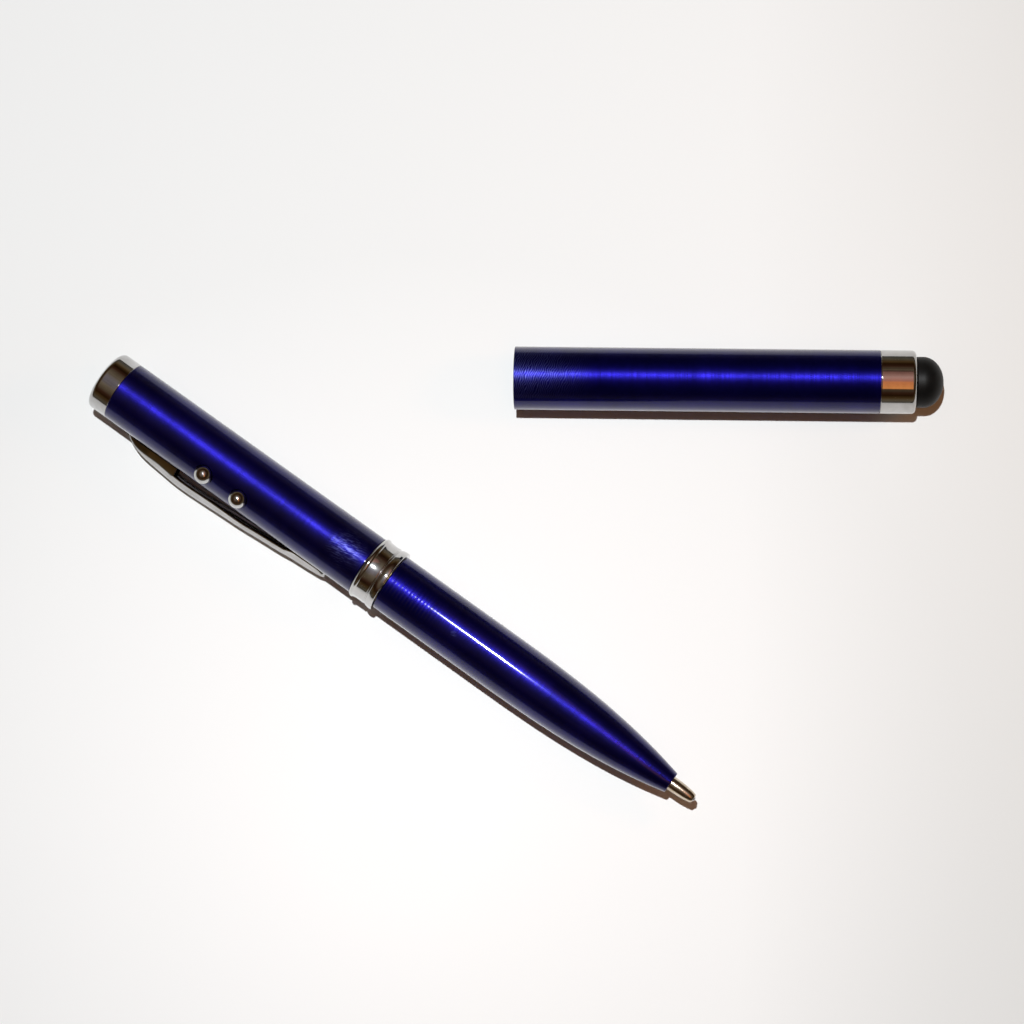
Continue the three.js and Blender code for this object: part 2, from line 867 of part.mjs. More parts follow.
const clipSpine = new THREE.SplineCurve([
  new THREE.Vector2(-clipHeelLength, bodyRadius - clipHeelDepth),
  new THREE.Vector2(-clipHeelLength / 3, bodyRadius - clipHeelDepth),
  ...clipLine.map(([along, rise]) => new THREE.Vector2(along * clipReach, bodyRadius + rise * clipRise)),
]);
const smooth = THREE.MathUtils.smoothstep;
const lerp = THREE.MathUtils.lerp;

function clipHalfWidth(along) {
  const widening = clipRootWidth + (clipWidth - clipRootWidth) * smooth(along, 0.5, clipNotch / 2);
  const narrowing = (clipWidth - clipTipWidth) * smooth(along, clipReach - clipNarrowing, clipReach);
  const intoTip = Math.max(0, (along - clipReach + clipTipRound) / clipTipRound);
  const rounded = 1 - clipTipTaper * (1 - Math.sqrt(Math.max(0, 1 - Math.min(1, intoTip) ** 2)));
  return ((widening - narrowing) / 2) * rounded;
}

// How far a side would reach down to the barrel's surface.
function clipRoom(height, half) {
  return height - Math.sqrt(bodyRadius ** 2 - (half - clipThickness) ** 2) - runGap;
}

// Depths under the crest: where the splayed side ends, and where the wall under it ends.
function clipDepths(along, height, half) {
  const room = clipRoom(height, half);
  const fromTip = clipReach - along;
  const free = lerp(clipLeastDepth, clipSideDepth, smooth(along, 0, clipSideGrowth));
  const onBarrel =
    (1 - smooth(fromTip, clipPadRampIn[1], clipPadRampIn[0])) *
    smooth(fromTip, clipPadRampOut[1], clipPadRampOut[0]);
  const side = Math.max(clipLeastDepth, Math.min(lerp(free, room - clipLip, onBarrel), room - clipLip));
  const walled = 1 - smooth(along, clipNotch, clipNotch + clipNotchRamp);
  return { side, wall: lerp(side + clipLip, Math.max(side + clipLip, room), walled) };
}

// One cross-section: the outer points and the inner ones, from one side's edge to the other's.
function clipSection(half, { side, wall }) {
  const splay = radians(clipSplay);
  const slope = side - clipCrown - clipCorner * (1 - Math.sin(splay));
  const flat = half - clipCorner * Math.cos(splay) - slope * Math.tan(splay);
  const shoulder = clipCrown * (flat / half) ** 2;
  const mitre = clipThickness * Math.tan(splay / 2);
  const sides = [-1, 1].map((hand) => {
    const bend = (radius) =>
      clipBend.map((angle) => [
        hand * (flat + radius * Math.cos(radians(angle))),
        -shoulder - clipCorner + radius * Math.sin(radians(angle)),
      ]);
    return {
      outer: [[hand * half, -wall], [hand * half, -side], ...bend(clipCorner)],
      inner: [
        [hand * (half - clipThickness), -wall],
        [hand * (half - clipThickness), -side - mitre],
        ...bend(clipCorner - clipThickness),
      ],
    };
  });
  const crest = [-0.5, 0, 0.5].map((share) => share * flat);
  const top = (drop) => crest.map((y) => [y, -drop - clipCrown * (y / half) ** 2]);
  const [left, right] = sides;
  return {
    outer: [...left.outer, ...top(0), ...right.outer.toReversed()],
    inner: [...left.inner, ...top(clipThickness), ...right.inner.toReversed()],
  };
}

function clip() {
  const rows = Array.from({ length: clipSteps + 1 }, (_, i) => {
    const point = clipSpine.getPointAt(i / clipSteps);
    const tangent = clipSpine.getTangentAt(i / clipSteps);
    const outward = new THREE.Vector3(-tangent.y, 0, tangent.x);
    const half = clipHalfWidth(point.x);
    const section = clipSection(half, clipDepths(point.x, point.y, half));
    const spot = ([y, height]) =>
      new THREE.Vector3(point.x, y, point.y).addScaledVector(outward, height);
    return { outer: section.outer.map(spot), inner: section.inner.map(spot) };
  });
  return sheet(rows.map((row) => row.outer), rows.map((row) => row.inner));
}
const clipPiece = piece('clip', clip(), 'chrome');
clipPiece.position.x = clipRootFromHead;
clipSide.add(clipPiece);

// Cap: a lacquered tube, a chrome ferrule on a spigot, and a rubber tip on a plug
const capSpigot = capBore - seatGap;
const capFerruleBore = capSpigot - capFerruleWall;
const capEndWall = 0.8;
const plugEnd = capFerruleLength - capEndWall - seatGap;
const neckRadius = stylusNeckDiameter / 2;

function capFerrule() {
  const round = capFerruleRound;
  return turned(
    [
      [-capSpigotLength, capFerruleBore],
      [-capSpigotLength, capSpigot],
      [0, capSpigot],
      [0, bodyRadius],
      ...arc(capFerruleLength - round, bodyRadius - round, round, round, 90, 0),
      [capFerruleLength, neckRadius + seatGap],
      [capFerruleLength - capEndWall, neckRadius + seatGap],
      [capFerruleLength - capEndWall, capFerruleBore],
      [-capSpigotLength, capFerruleBore],
    ],
    outerSteps,
  );
}

function stylusPlug() {
  const rim = Math.min(plugDiameter / 2, capFerruleBore - seatGap);
  const stem = plugStemDiameter / 2;
  return turned(
    [
      [plugEnd - plugLength, 0],
      [plugEnd - plugLength, rim],
      [plugEnd, rim],
      [plugEnd, stem],
      [plugEnd + plugStemLength, stem],
      [plugEnd + plugStemLength, 0],
    ],
    innerSteps,
  );
}

function stylusTip() {
  const radius = stylusDiameter / 2;
  const stem = plugStemDiameter / 2 + seatGap;
  const base = capFerruleLength + seatGap;
  const neckStart = plugEnd + seatGap;
  const dome = stylusReach - seatGap - stylusSkirt;
  return turned(
    [
      [plugEnd + plugStemLength + seatGap, 0],
      [plugEnd + plugStemLength + seatGap, stem],
      [neckStart, stem],
      [neckStart, neckRadius],
      [base, neckRadius],
      [base, radius],
      ...arc(base + stylusSkirt, 0, dome, radius, 90, 0, domeSteps),
    ],
    outerSteps,
  );
}
const capTube = turned(tubeProfile(0, capTubeLength - seatGap, capBore, bodyRadius), outerSteps);
const capEnd = new THREE.Group();
capEnd.position.x = capTubeLength;
capEnd.add(
  piece('cap_ferrule', capFerrule(), 'chrome'),
  piece('stylus_plug', stylusPlug(), 'blackPlastic'),
  piece('stylus_tip', stylusTip(), 'rubber'),
);
cap.add(piece('cap_tube', capTube, 'blueLacquer'), capEnd);

// The origin is under the middle of the whole, on the table
const whole = new THREE.Box3().setFromObject(lightPen, true);
const middle = whole.getCenter(new THREE.Vector3());
lightPen.position.set(-middle.x, -middle.y, -whole.min.z);

export default lightPen;
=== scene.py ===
# %% [markdown]
# A light pen lies on a white table with its cap beside it. The imported model gives every solid its
# place, so the first step loads it, and the pieces made later take their frames from it.

# %% Load the frame
import json
import math

import bmesh
import bpy
import numpy as np
from mathutils import Matrix, Vector


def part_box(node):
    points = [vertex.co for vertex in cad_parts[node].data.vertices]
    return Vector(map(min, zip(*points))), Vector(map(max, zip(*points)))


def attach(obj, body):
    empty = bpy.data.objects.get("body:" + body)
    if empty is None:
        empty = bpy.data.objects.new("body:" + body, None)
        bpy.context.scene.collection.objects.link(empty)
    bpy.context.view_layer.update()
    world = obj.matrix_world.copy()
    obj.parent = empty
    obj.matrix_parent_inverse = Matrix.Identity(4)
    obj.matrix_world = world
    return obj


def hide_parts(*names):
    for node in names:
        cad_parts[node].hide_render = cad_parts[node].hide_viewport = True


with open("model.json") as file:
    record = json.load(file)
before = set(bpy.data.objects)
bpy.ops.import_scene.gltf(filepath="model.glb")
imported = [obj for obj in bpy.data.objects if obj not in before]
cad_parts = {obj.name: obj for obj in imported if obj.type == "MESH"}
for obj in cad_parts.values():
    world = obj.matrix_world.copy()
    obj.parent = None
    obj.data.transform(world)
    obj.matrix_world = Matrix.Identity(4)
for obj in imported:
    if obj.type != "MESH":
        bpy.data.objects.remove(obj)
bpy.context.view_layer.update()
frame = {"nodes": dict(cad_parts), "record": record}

MM = 0.001
nodes = frame["nodes"]
slots = {part["node"]: part["material_slot"] for part in frame["record"]["subparts"]}

# %% [markdown]
# The pen and the cap each have a frame of their own, in millimetres: X runs along the piece and Z
# points up. The pen's starts in the middle of its flat head, which the record gives as a mount. The
# cap's starts in the middle of its open mouth, which comes from the box of its tube. A piece is
# drawn in its own frame and then placed, so every size below is one that could be measured on it.

# %% Frames of the pen and the cap
def frame_at(origin, along, up=(0, 0, 1)):
    """The matrix that takes millimetres in a piece's own frame to metres on the table."""
    x = Vector(along).normalized()
    z = (Vector(up) - x * x.dot(Vector(up))).normalized()
    turn = Matrix((x, z.cross(x), z)).transposed().to_4x4()
    return Matrix.Translation(Vector(origin)) @ turn @ Matrix.Scale(MM, 4)


head_mount = next(m for m in frame["record"]["mounts"] if m["name"] == "head_end")
PEN = frame_at(head_mount["pos_m"], [-value for value in head_mount["axis"]])
mouth_low, mouth_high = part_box("cap_tube")
CAP = frame_at((mouth_low.x, *((mouth_low + mouth_high) / 2)[1:]), (1, 0, 0))
print("pen starts at", [round(v / MM, 2) for v in PEN.translation], "mm")
print("cap starts at", [round(v / MM, 2) for v in CAP.translation], "mm")

# %% [markdown]
# The camera stands where the photographer held theirs: a little over half a metre above the table,
# beyond the lower edge of the pen, and tilted a few degrees. Its direction comes from one point of
# the picture, the one straight below the lens, where all upright edges would meet.

# %% Camera
PICTURE = 1024
SENSOR = 36.0
FOCAL_PIXELS = 3200.0
BELOW_LENS = (685.0, 950.0)
CAMERA_PLACE = (0.0309, -0.0641, 0.5522)
TABLE_TURN = math.radians(1.168)


def camera_turn():
    """Columns are the camera's axes on the table: down is where the point below the lens lies."""
    half = PICTURE / 2
    down = Vector((BELOW_LENS[0] - half, half - BELOW_LENS[1], -FOCAL_PIXELS))
    up = -down.normalized()
    right = Vector((1, 0, 0))
    right = (right - up * right.dot(up)).normalized()
    return Matrix.Rotation(TABLE_TURN, 3, "Z") @ Matrix((right, up.cross(right), up))


camera_data = bpy.data.cameras.new("camera")
camera_data.lens = FOCAL_PIXELS / PICTURE * SENSOR
camera_data.sensor_width = SENSOR
camera_data.clip_start = 0.01
camera = bpy.data.objects.new("camera", camera_data)
camera.matrix_world = Matrix.Translation(CAMERA_PLACE) @ camera_turn().to_4x4()
bpy.context.scene.collection.objects.link(camera)
bpy.context.scene.camera = camera
print("lens", round(camera_data.lens, 1), "mm, height", CAMERA_PLACE[2], "m")

# %% [markdown]
# A finish is one Principled shader and the nodes that feed it. Shader maths reads like arithmetic
# when a socket is wrapped in a small class that knows the operators, so a scratch mask can be
# written as a sum of noises. Every other node comes from one method that takes its settings and
# the values or links of its sockets.

# %% Shader maths
class Number:
    """One socket that carries a number. Operators on it add Math nodes."""

    def __init__(self, finish, socket):
        self.finish = finish
        self.socket = socket

    def math(self, operation, *values, clamp=False):
        """One Math node on this number and the values after it."""
        settings = {"operation": operation, "use_clamp": clamp}
        return self.finish.node("Math", settings, dict(enumerate((self, *values))))

    def __add__(self, other):
        return self.math("ADD", other)

    def __sub__(self, other):
        return self.math("SUBTRACT", other)

    def __rsub__(self, other):
        return self.math("MULTIPLY_ADD", -1.0, other)

    def __mul__(self, other):
        return self.math("MULTIPLY", other)

    __radd__ = __add__
    __rmul__ = __mul__

    def between(self, low, high):
        """0 below low, 1 above high, and a straight ramp from one to the other."""
        return self.math("MULTIPLY_ADD", 1 / (high - low), -low / (high - low), clamp=True)


class Finish:
    """A material made of one Principled shader."""

    def __init__(self, name, **constants):
        self.material = bpy.data.materials.new(name)
        self.material.use_nodes = True
        self.tree = self.material.node_tree
        self.shader = self.tree.nodes["Principled BSDF"]
        for socket, value in constants.items():
            self.shader.inputs[socket.replace("_", " ")].default_value = value

    def node(self, kind, settings=None, sockets=None, output=0):
        """Adds a node, sets it up, then fills its sockets by name or number."""
        made = self.tree.nodes.new("ShaderNode" + kind)
        for name, value in (settings or {}).items():
            if name == "stops":
                self.fill_ramp(made.color_ramp, value)
            else:
                setattr(made, name, value)
        for key, value in (sockets or {}).items():
            self.feed(value, made.inputs[key])
        return Number(self, made.outputs[output])

    def fill_ramp(self, ramp, stops):
        """Sets a colour ramp from (place, colour) pairs, in rising order."""
        while len(ramp.elements) < len(stops):
            ramp.elements.new(0.5)
        for element, (place, colour) in zip(ramp.elements, stops):
            element.position = place
            element.color = (*colour, 1)

    def feed(self, value, socket):
        if isinstance(value, Number):
            self.tree.links.new(value.socket, socket)
        else:
            socket.default_value = value

    def drive(self, **links):
        """Links numbers or colours to the Principled shader's own sockets."""
        for socket, value in links.items():
            self.feed(value, self.shader.inputs[socket.replace("_", " ")])
        return self.material

    def place(self):
        """The point on the piece, in metres on the table."""
        return self.node("TexCoord", output="Object")

    def noise(self, scale, detail=2.0, roughness=0.5, where=None):
        """Cloudy noise from 0 to 1 with scale features per metre."""
        sockets = {
            "Vector": where or self.place(), "Scale": scale, "Detail": detail, "Roughness": roughness,
        }
        return self.node("TexNoise", None, sockets)

    def blend(self, share, first, second):
        """A colour that goes from the first to the second as share goes from 0 to 1."""
        ends = [end if isinstance(end, Number) else (*end, 1) for end in (first, second)]
        return self.node("Mix", {"data_type": "RGBA"}, {0: share, 6: ends[0], 7: ends[1]}, output=2)

    def relief(self, height, depth):
        """Makes a height from 0 to 1 stand depth metres proud."""
        return self.node("Bump", None, {"Strength": 1.0, "Distance": depth, "Height": height})

    def lathe_marks(self, per_metre):
        """Noise that only changes along the turned piece, from the second number of its UV map."""
        split = self.node("SeparateXYZ", None, {0: self.node("UVMap")}, output="Y")
        return self.node(
            "TexNoise", {"noise_dimensions": "1D"}, {"W": split, "Scale": per_metre, "Detail": 3.0},
        )


# %% [markdown]
# The barrels and the cap are metal under a deep blue lacquer. Seen from above they are almost
# black, because they mirror a dark room. Only the lamp lights up the metal, and the marks of the
# lathe under the lacquer smear that light along the whole piece into a saturated streak. On the
# barrels a smooth clear coat lies on top, so the lamp also shows as a sharp white line. On the cap
# that coat is rubbed off the upper side. Paler blue is painted in two places. Fine ripples on top
# near the cap's mouth are a painted highlight where the lamp's glint lies. Scratches near the
# centre ring are partly wear and partly painted sheen of the lamp's light.

# %% Blue lacquer
LACQUER_DEEP = (0.0036, 0.0028, 0.068)
LACQUER_LIGHT = (0.0056, 0.004, 0.108)
# Paler blue: partly wear, and partly painted sheen of the lamp's light.
LACQUER_WORN_SHEEN = (0.09, 0.1, 0.34)
MARKS_PER_METRE = 15000
MARK_DEPTH = 0.00002
# Scratch patches by centre and radius: partly wear, partly painted sheen.
SCRATCHES = [((52.9, 0.1, 5.5), 4.0), ((76.4, -1.2, 5.1), 0.7)]
SCRATCH_SLANT = math.radians(14)
SCRATCHES_PER_METRE = (700, 5200, 5200)
SCRATCH_WEAR_AND_SHEEN = 0.75
NOTCHED = (61.0, 74.0)
NOTCHES_PER_METRE = 1450
NOTCH_FADES = (1, 7)
NOTCH_WEAR = 1.6
# Ripples near the cap's mouth are a painted highlight.
RIPPLE_LENGTH = 14.0
RIPPLES_PER_METRE = 2700
RIPPLE_TURNS = 34.0
RIPPLE_DRIFT = 2.5
RIPPLE_SHEEN = 0.7


def blue_lacquer(name, worn_and_sheen, coat):
    """The second argument gives the share of paler blue, which is partly wear and partly painted sheen,
    and coat gives the share of clear coat, each from the finish that it is made for."""
    finish = Finish(name, Coat_Roughness=0.075, Coat_IOR=1.38, Metallic=0.9, Specular_IOR_Level=0.0)
    clouds = finish.noise(140, detail=4)
    marks = finish.lathe_marks(MARKS_PER_METRE)
    wipes = finish.noise(900, detail=5)
    # The mask paints paler blue: partly wear, partly painted sheen and painted highlight.
    rubbed_and_sheen = worn_and_sheen(finish)
    shade = finish.blend(clouds.between(0.35, 0.65), LACQUER_DEEP, LACQUER_LIGHT)
    return finish.drive(
        Base_Color=finish.blend(rubbed_and_sheen, shade, LACQUER_WORN_SHEEN),
        Roughness=0.26 + 0.12 * wipes + 0.15 * rubbed_and_sheen,
        Coat_Weight=coat(finish),
        Normal=finish.relief(marks, MARK_DEPTH),
    )


def scratches_and_sheen(finish):
    """Long slanting scratches inside a few round patches, given by centre and radius on the pen.
    They are noise that is stretched along their own direction. Their paler blue is partly wear and
    partly painted sheen, the lamp's light scattered near its highlight."""
    turn = (0, 0, -PEN.to_euler().z - SCRATCH_SLANT)
    lie = finish.node(
        "Mapping", {"vector_type": "POINT"}, {"Vector": finish.place(), "Rotation": turn},
    )
    long = finish.node(
        "Mapping", {"vector_type": "POINT"}, {"Vector": lie, "Scale": SCRATCHES_PER_METRE},
    )
    hairs = finish.noise(1.0, detail=3, roughness=0.6, where=long).between(0.48, 0.66)
    total = 0.0
    for centre, radius in SCRATCHES:
        ends = {0: finish.place(), 1: PEN @ Vector(centre)}
        offset = finish.node("VectorMath", {"operation": "SUBTRACT"}, ends)
        away = finish.node("VectorMath", {"operation": "LENGTH"}, {0: offset}, output="Value")
        total = total + (1 - away.between(0.2 * radius * MM, radius * MM))
    return SCRATCH_WEAR_AND_SHEEN * hairs * total


def ripple_sheen(finish):
    """A painted highlight: narrow slanting pale waves round the tube, strongest on top where the
    lamp's glint lies, that fade out with the distance from the mouth."""
    along = finish.node("SeparateXYZ", None, {0: finish.place()}, output="X") - CAP.translation.x
    split = finish.node("SeparateXYZ", None, {0: finish.node("UVMap")}, output="X")
    drift = finish.noise(800, detail=2)
    waves = along * RIPPLES_PER_METRE + split * RIPPLE_TURNS + drift * RIPPLE_DRIFT
    crests = (waves * (2 * math.pi)).math("SINE").between(0.2, 1.0)
    height = finish.node("SeparateXYZ", None, {0: finish.place()}, output="Z")
    upper = height.between(CAP.translation.z + 3.2 * MM, CAP.translation.z + 5.0 * MM)
    return RIPPLE_SHEEN * crests * upper * (1 - along.between(0.0, RIPPLE_LENGTH * MM))


def rubbed_on_top(finish):
    """No coat where the cap's surface lies highest, all of it from halfway down the side."""
    height = finish.node("SeparateXYZ", None, {0: finish.place()}, output="Z")
    return 1 - height.between(CAP.translation.z + 3.6 * MM, CAP.translation.z + 4.9 * MM)


def notched_by_the_ring(finish):
    """1 where the clear coat is whole. On top, just after the centre ring, it is worn through in
    narrow rings that fade out with the distance from it."""
    direction = (PEN.to_3x3() @ Vector((1, 0, 0))).normalized()
    along = finish.node(
        "VectorMath", {"operation": "DOT_PRODUCT"}, {0: finish.place(), 1: direction}, output="Value",
    ) - direction.dot(PEN.translation)
    rings = (along * (2 * math.pi * NOTCHES_PER_METRE)).math("SINE").between(-0.5, 0.0)
    start, end = (place * MM for place in NOTCHED)
    fade_in, fade_out = (length * MM for length in NOTCH_FADES)
    near = along.between(start, start + fade_in) * (1 - along.between(end - fade_out, end))
    height = finish.node("SeparateXYZ", None, {0: finish.place()}, output="Z")
    top = height.between(PEN.translation.z + 4.4 * MM, PEN.translation.z + 5.0 * MM)
    return 1 - (rings * near * top * NOTCH_WEAR).between(0.0, 1.0)


LACQUER = blue_lacquer("blue_lacquer", scratches_and_sheen, notched_by_the_ring)
CAP_LACQUER = blue_lacquer("cap_lacquer", ripple_sheen, rubbed_on_top)
print("lacquer nodes", len(LACQUER.node_tree.nodes), len(CAP_LACQUER.node_tree.nodes))

# %% [markdown]
# The head, the ring, the clip, the buttons and the cap's end are bright plated metal. A mirror has
# no colour of its own, so what makes it look real is what it reflects, and the faint wipe marks
# that soften the reflection here and there. Cloudy noise moves the roughness a little, and a much
# finer one makes hair scratches. The ring, where the fingers are, is filmed over with wear, and the
# film spreads the lamp's glint into a pale haze.

# %% Plated and bare metals
def metal(name, colour, tarnish, roughness, spread, scale, scratches=0.0, **constants):
    """Metal whose colour and roughness drift with cloudy noise of the given scale."""
    finish = Finish(name, **constants)
    clouds = finish.noise(scale, detail=4)
    hairs = finish.noise(scale * 9, detail=2)
    return finish.drive(
        Base_Color=finish.blend(clouds.between(0.3, 0.75), colour, tarnish),
        Metallic=1.0,
        Roughness=roughness + spread * clouds,
        Normal=finish.relief(hairs, scratches),
    )


PLATED = ((0.62, 0.62, 0.62), (0.5, 0.495, 0.485), 0.03, 0.06, 500, 0.0000006)
CHROME = metal("chrome", *PLATED)
HANDLED_CHROME = metal("handled_chrome", *PLATED, Coat_Weight=0.45, Coat_Roughness=0.27)
BRASS = metal("brass", (0.78, 0.6, 0.28), (0.55, 0.4, 0.17), 0.2, 0.2, 700, 0.000002)
STEEL = metal("steel", (0.62, 0.62, 0.63), (0.45, 0.45, 0.47), 0.22, 0.2, 600, 0.000002)
print("metals", CHROME.name, BRASS.name, STEEL.name)


# %% [markdown]
# The writing tip is nickel silver, turned to a long taper. The turning tool leaves fine rings, so
# its relief runs along the piece as the lacquer's does, but much finer and without a coat.

# %% Turned nickel
def turned_nickel(name):
    finish = Finish(name)
    marks = finish.lathe_marks(9000)
    stain = finish.noise(900, detail=3)
    return finish.drive(
        Base_Color=finish.blend(stain.between(0.35, 0.7), (0.74, 0.66, 0.54), (0.5, 0.41, 0.3)),
        Metallic=1.0,
        Roughness=0.13 + 0.1 * marks,
        Normal=finish.relief(marks, 0.000006),
    )


NICKEL = turned_nickel("nickel")

# %% [markdown]
# Plastics and rubber scatter light instead of mirroring it. The same recipe serves all of them: a
# colour that drifts between two close shades, a roughness that drifts with it, and a fine grain.

# %% Plastics, rubber, board and lens
def moulded(name, colour, shade, roughness, grain, grain_depth, **constants):
    """A moulded piece: two close shades, and a grain of so many bumps per metre."""
    finish = Finish(name, **constants)
    clouds = finish.noise(400, detail=3)
    bumps = finish.noise(grain, detail=2)
    return finish.drive(
        Base_Color=finish.blend(clouds.between(0.3, 0.7), colour, shade),
        Roughness=roughness + 0.12 * clouds,
        Normal=finish.relief(bumps, grain_depth),
    )


BLACK_PLASTIC = moulded("black_plastic", (0.02, 0.02, 0.022), (0.012, 0.012, 0.013), 0.42, 6000, 0.00001)
WHITE_PLASTIC = moulded("white_plastic", (0.78, 0.78, 0.74), (0.68, 0.68, 0.64), 0.38, 5000, 0.00001)
RUBBER = moulded(
    "black_rubber", (0.003, 0.003, 0.003), (0.006, 0.0055, 0.005), 0.4, 9000, 0.000006,
    Specular_IOR_Level=0.16,
)
LENS = moulded(
    "clear_lens", (0.93, 0.96, 0.98), (0.88, 0.92, 0.95), 0.02, 3000, 0.000001,
    Transmission_Weight=0.9, IOR=1.5,
)


def circuit_board(name):
    """Green solder mask with thin brighter tracks, which are the edges of rounded cells."""
    finish = Finish(name)
    edge = finish.node(
        "TexVoronoi", {"feature": "DISTANCE_TO_EDGE"}, {"Vector": finish.place(), "Scale": 700.0},
    )
    track = 1 - edge.between(0.03, 0.06)
    return finish.drive(
        Base_Color=finish.blend(track, (0.02, 0.16, 0.06), (0.05, 0.32, 0.12)),
        Roughness=0.3 + 0.1 * track,
        Normal=finish.relief(track, 0.00003),
    )


BOARD = circuit_board("circuit_board")
FINISHES = {
    "chrome": CHROME, "blue_lacquer": LACQUER, "brass": BRASS, "nickel": NICKEL, "steel": STEEL,
    "black_plastic": BLACK_PLASTIC, "white_plastic": WHITE_PLASTIC, "circuit_board": BOARD,
    "clear_lens": LENS, "black_rubber": RUBBER,
}
for name, node in nodes.items():
    node.data.materials.clear()
    node.data.materials.append(FINISHES[slots[name]])
print("finishes", sorted(FINISHES))

# %% [markdown]
# Nearly every piece of a pen is made on a lathe, so one function does most of the work. A profile
# is a short list of corners, each with its own rounding, and the surface is that profile turned
# about the axis. The rounding matters: a sharp edge has no highlight, and real edges always do.

# %% Turning
SIDES = 144
CORNER_STEPS = 7
SUPPORT = 0.04
LONGEST_STEP = 4.0


def arc(along, radius, size_along, size_radius, start, end, steps=24):
    """Points of an ellipse round a centre, from one angle to another in degrees from the axis."""
    angle = np.radians(np.linspace(start, end, steps + 1))
    return np.column_stack([along + size_along * np.cos(angle), radius + size_radius * np.sin(angle)])


def rounded(corners):
    """A line through (along, radius, rounding) corners. Each corner becomes a quadratic curve that
    starts and ends the rounding's length before and after it, and bends towards it in between."""
    spots = np.array([corner[:2] for corner in corners], float)
    sizes = np.array([corner[2] if len(corner) > 2 else 0.0 for corner in corners])
    line = [spots[:1]]
    for before, spot, after, size in zip(spots, spots[1:], spots[2:], sizes[1:-1]):
        if size == 0:
            line.append(spot[None])
            continue
        start = spot + (before - spot) / np.linalg.norm(before - spot) * size
        end = spot + (after - spot) / np.linalg.norm(after - spot) * size
        t = np.linspace(0, 1, CORNER_STEPS)[:, None]
        line.append((1 - t) ** 2 * start + 2 * t * (1 - t) * spot + t**2 * end)
    line.append(spots[-1:])
    return np.vstack(line)


def mesh_object(name, points, faces, uv=None):
    """A mesh from points and faces, with doubles merged and its outside kept outside."""
    mesh = bpy.data.meshes.new(name)
    mesh.from_pydata(points, [], faces)
    if uv is not None:
        corner_vertex = np.zeros(len(mesh.loops), np.int32)
        mesh.loops.foreach_get("vertex_index", corner_vertex)
        mesh.uv_layers.new(name="UVMap").data.foreach_set("uv", uv[corner_vertex].ravel())
    weld(mesh)
    made = bpy.data.objects.new(name, mesh)
    bpy.context.scene.collection.objects.link(made)
    return made


def weld(mesh):
    """Merges points that coincide, which closes the seams and the poles."""
    work = bmesh.new()
    work.from_mesh(mesh)
    bmesh.ops.remove_doubles(work, verts=work.verts, dist=0.002 * MM)
    work.to_mesh(mesh)
    work.free()


def grid_faces(rows, columns):
    """The four-sided faces of a grid of points, as indices into its flat list."""
    index = np.arange(rows * columns).reshape(rows, columns)
    return np.stack(
        [index[:-1, :-1], index[:-1, 1:], index[1:, 1:], index[1:, :-1]], axis=-1
    ).reshape(-1, 4).tolist()


def placed(points, where):
    """Points in a piece's own frame, carried to the table."""
    matrix = np.array(where)
    return points @ matrix[:3, :3].T + matrix[:3, 3]


def supported(profile):
    """Splits each step of a profile. A long one gets a point close to both of its ends, so that the
    soft shading of a rounded edge stays at the edge, and even ones in between."""
    pieces = []
    for start, end in zip(profile, profile[1:]):
        length = np.linalg.norm(end - start)
        shares = np.zeros(1)
        if length > 4 * SUPPORT:
            near = SUPPORT / length
            shares = np.append(0, np.linspace(near, 1 - near, math.ceil(length / LONGEST_STEP) + 1))
        pieces.append(start + (end - start) * shares[:, None])
    return np.vstack([*pieces, profile[-1:]])


def turned(name, profile, where, sides=SIDES):
    """P(s, a) = along(s) on X + radius(s) * (cos a on Y + sin a on Z), with a once round. The UV map
    holds the share of the turn and the length along the profile in metres."""
    profile = supported(profile)
    angle = np.linspace(0, 2 * math.pi, sides + 1)
    along = np.repeat(profile[:, :1], sides + 1, axis=1)
    points = np.stack([along, profile[:, 1:] * np.cos(angle), profile[:, 1:] * np.sin(angle)], axis=-1)
    steps = np.linalg.norm(np.diff(profile, axis=0), axis=1)
    travel = np.concatenate([[0], np.cumsum(steps)]) * MM
    uv = np.stack(np.broadcast_arrays(angle / (2 * math.pi), travel[:, None]), axis=-1)
    flat = placed(points.reshape(-1, 3), where)
    return mesh_object(name, flat, grid_faces(len(profile), sides + 1), uv.reshape(-1, 2))


# %% [markdown]
# Each finished piece is dressed in the same four steps: smooth shading with true edges kept sharp,
# its material, the body that it moves with, and the solid that it stands for.

# %% Dressing a piece
EDGE_ANGLE = math.radians(32)


def finished(piece, material, body, *stands_for):
    """Shades, paints and hangs a piece on its body, in place of the named solids."""
    piece.data.shade_smooth()
    piece.data.set_sharp_from_angle(angle=EDGE_ANGLE)
    piece.data.materials.clear()
    piece.data.materials.append(material)
    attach(piece, body)
    if stands_for:
        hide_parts(*stands_for)
    print(piece.name, len(piece.data.polygons), "faces on", body)
    return piece


def bored(piece, *drills):
    """Takes the drills' volume out of a piece and removes them."""
    for drill in drills:
        modifier = piece.modifiers.new("bore", "BOOLEAN")
        modifier.operation = "DIFFERENCE"
        modifier.solver = "EXACT"
        modifier.object = drill
    bpy.context.view_layer.update()
    seen = piece.evaluated_get(bpy.context.evaluated_depsgraph_get())
    result = bpy.data.meshes.new_from_object(seen)
    piece.modifiers.clear()
    piece.data = result
    for drill in drills:
        bpy.data.objects.remove(drill)
    return piece


def side_frame(parent, angle, along=0.0):
    """A frame whose X points straight out of the barrel, at an angle from the top towards -Y."""
    outwards = Matrix.Rotation(math.radians(angle), 4, "X") @ Matrix.Rotation(-math.pi / 2, 4, "Y")
    return parent @ Matrix.Translation((along, 0, 0)) @ outwards


def drill(radius, start, end, where, sides=48):
    """A closed rod along a frame's X axis, to bore with."""
    profile = np.array([[start, 0], [start, radius], [end, radius], [end, 0]], float)
    return turned("drill", profile, where, sides)


# %% [markdown]
# The head is a short plated cap with a softly rounded edge. Its flat end has one hole for the lamp
# and one for the laser. It is a turned shell, and the two holes are bored through it afterwards,
# which keeps their rims exact.

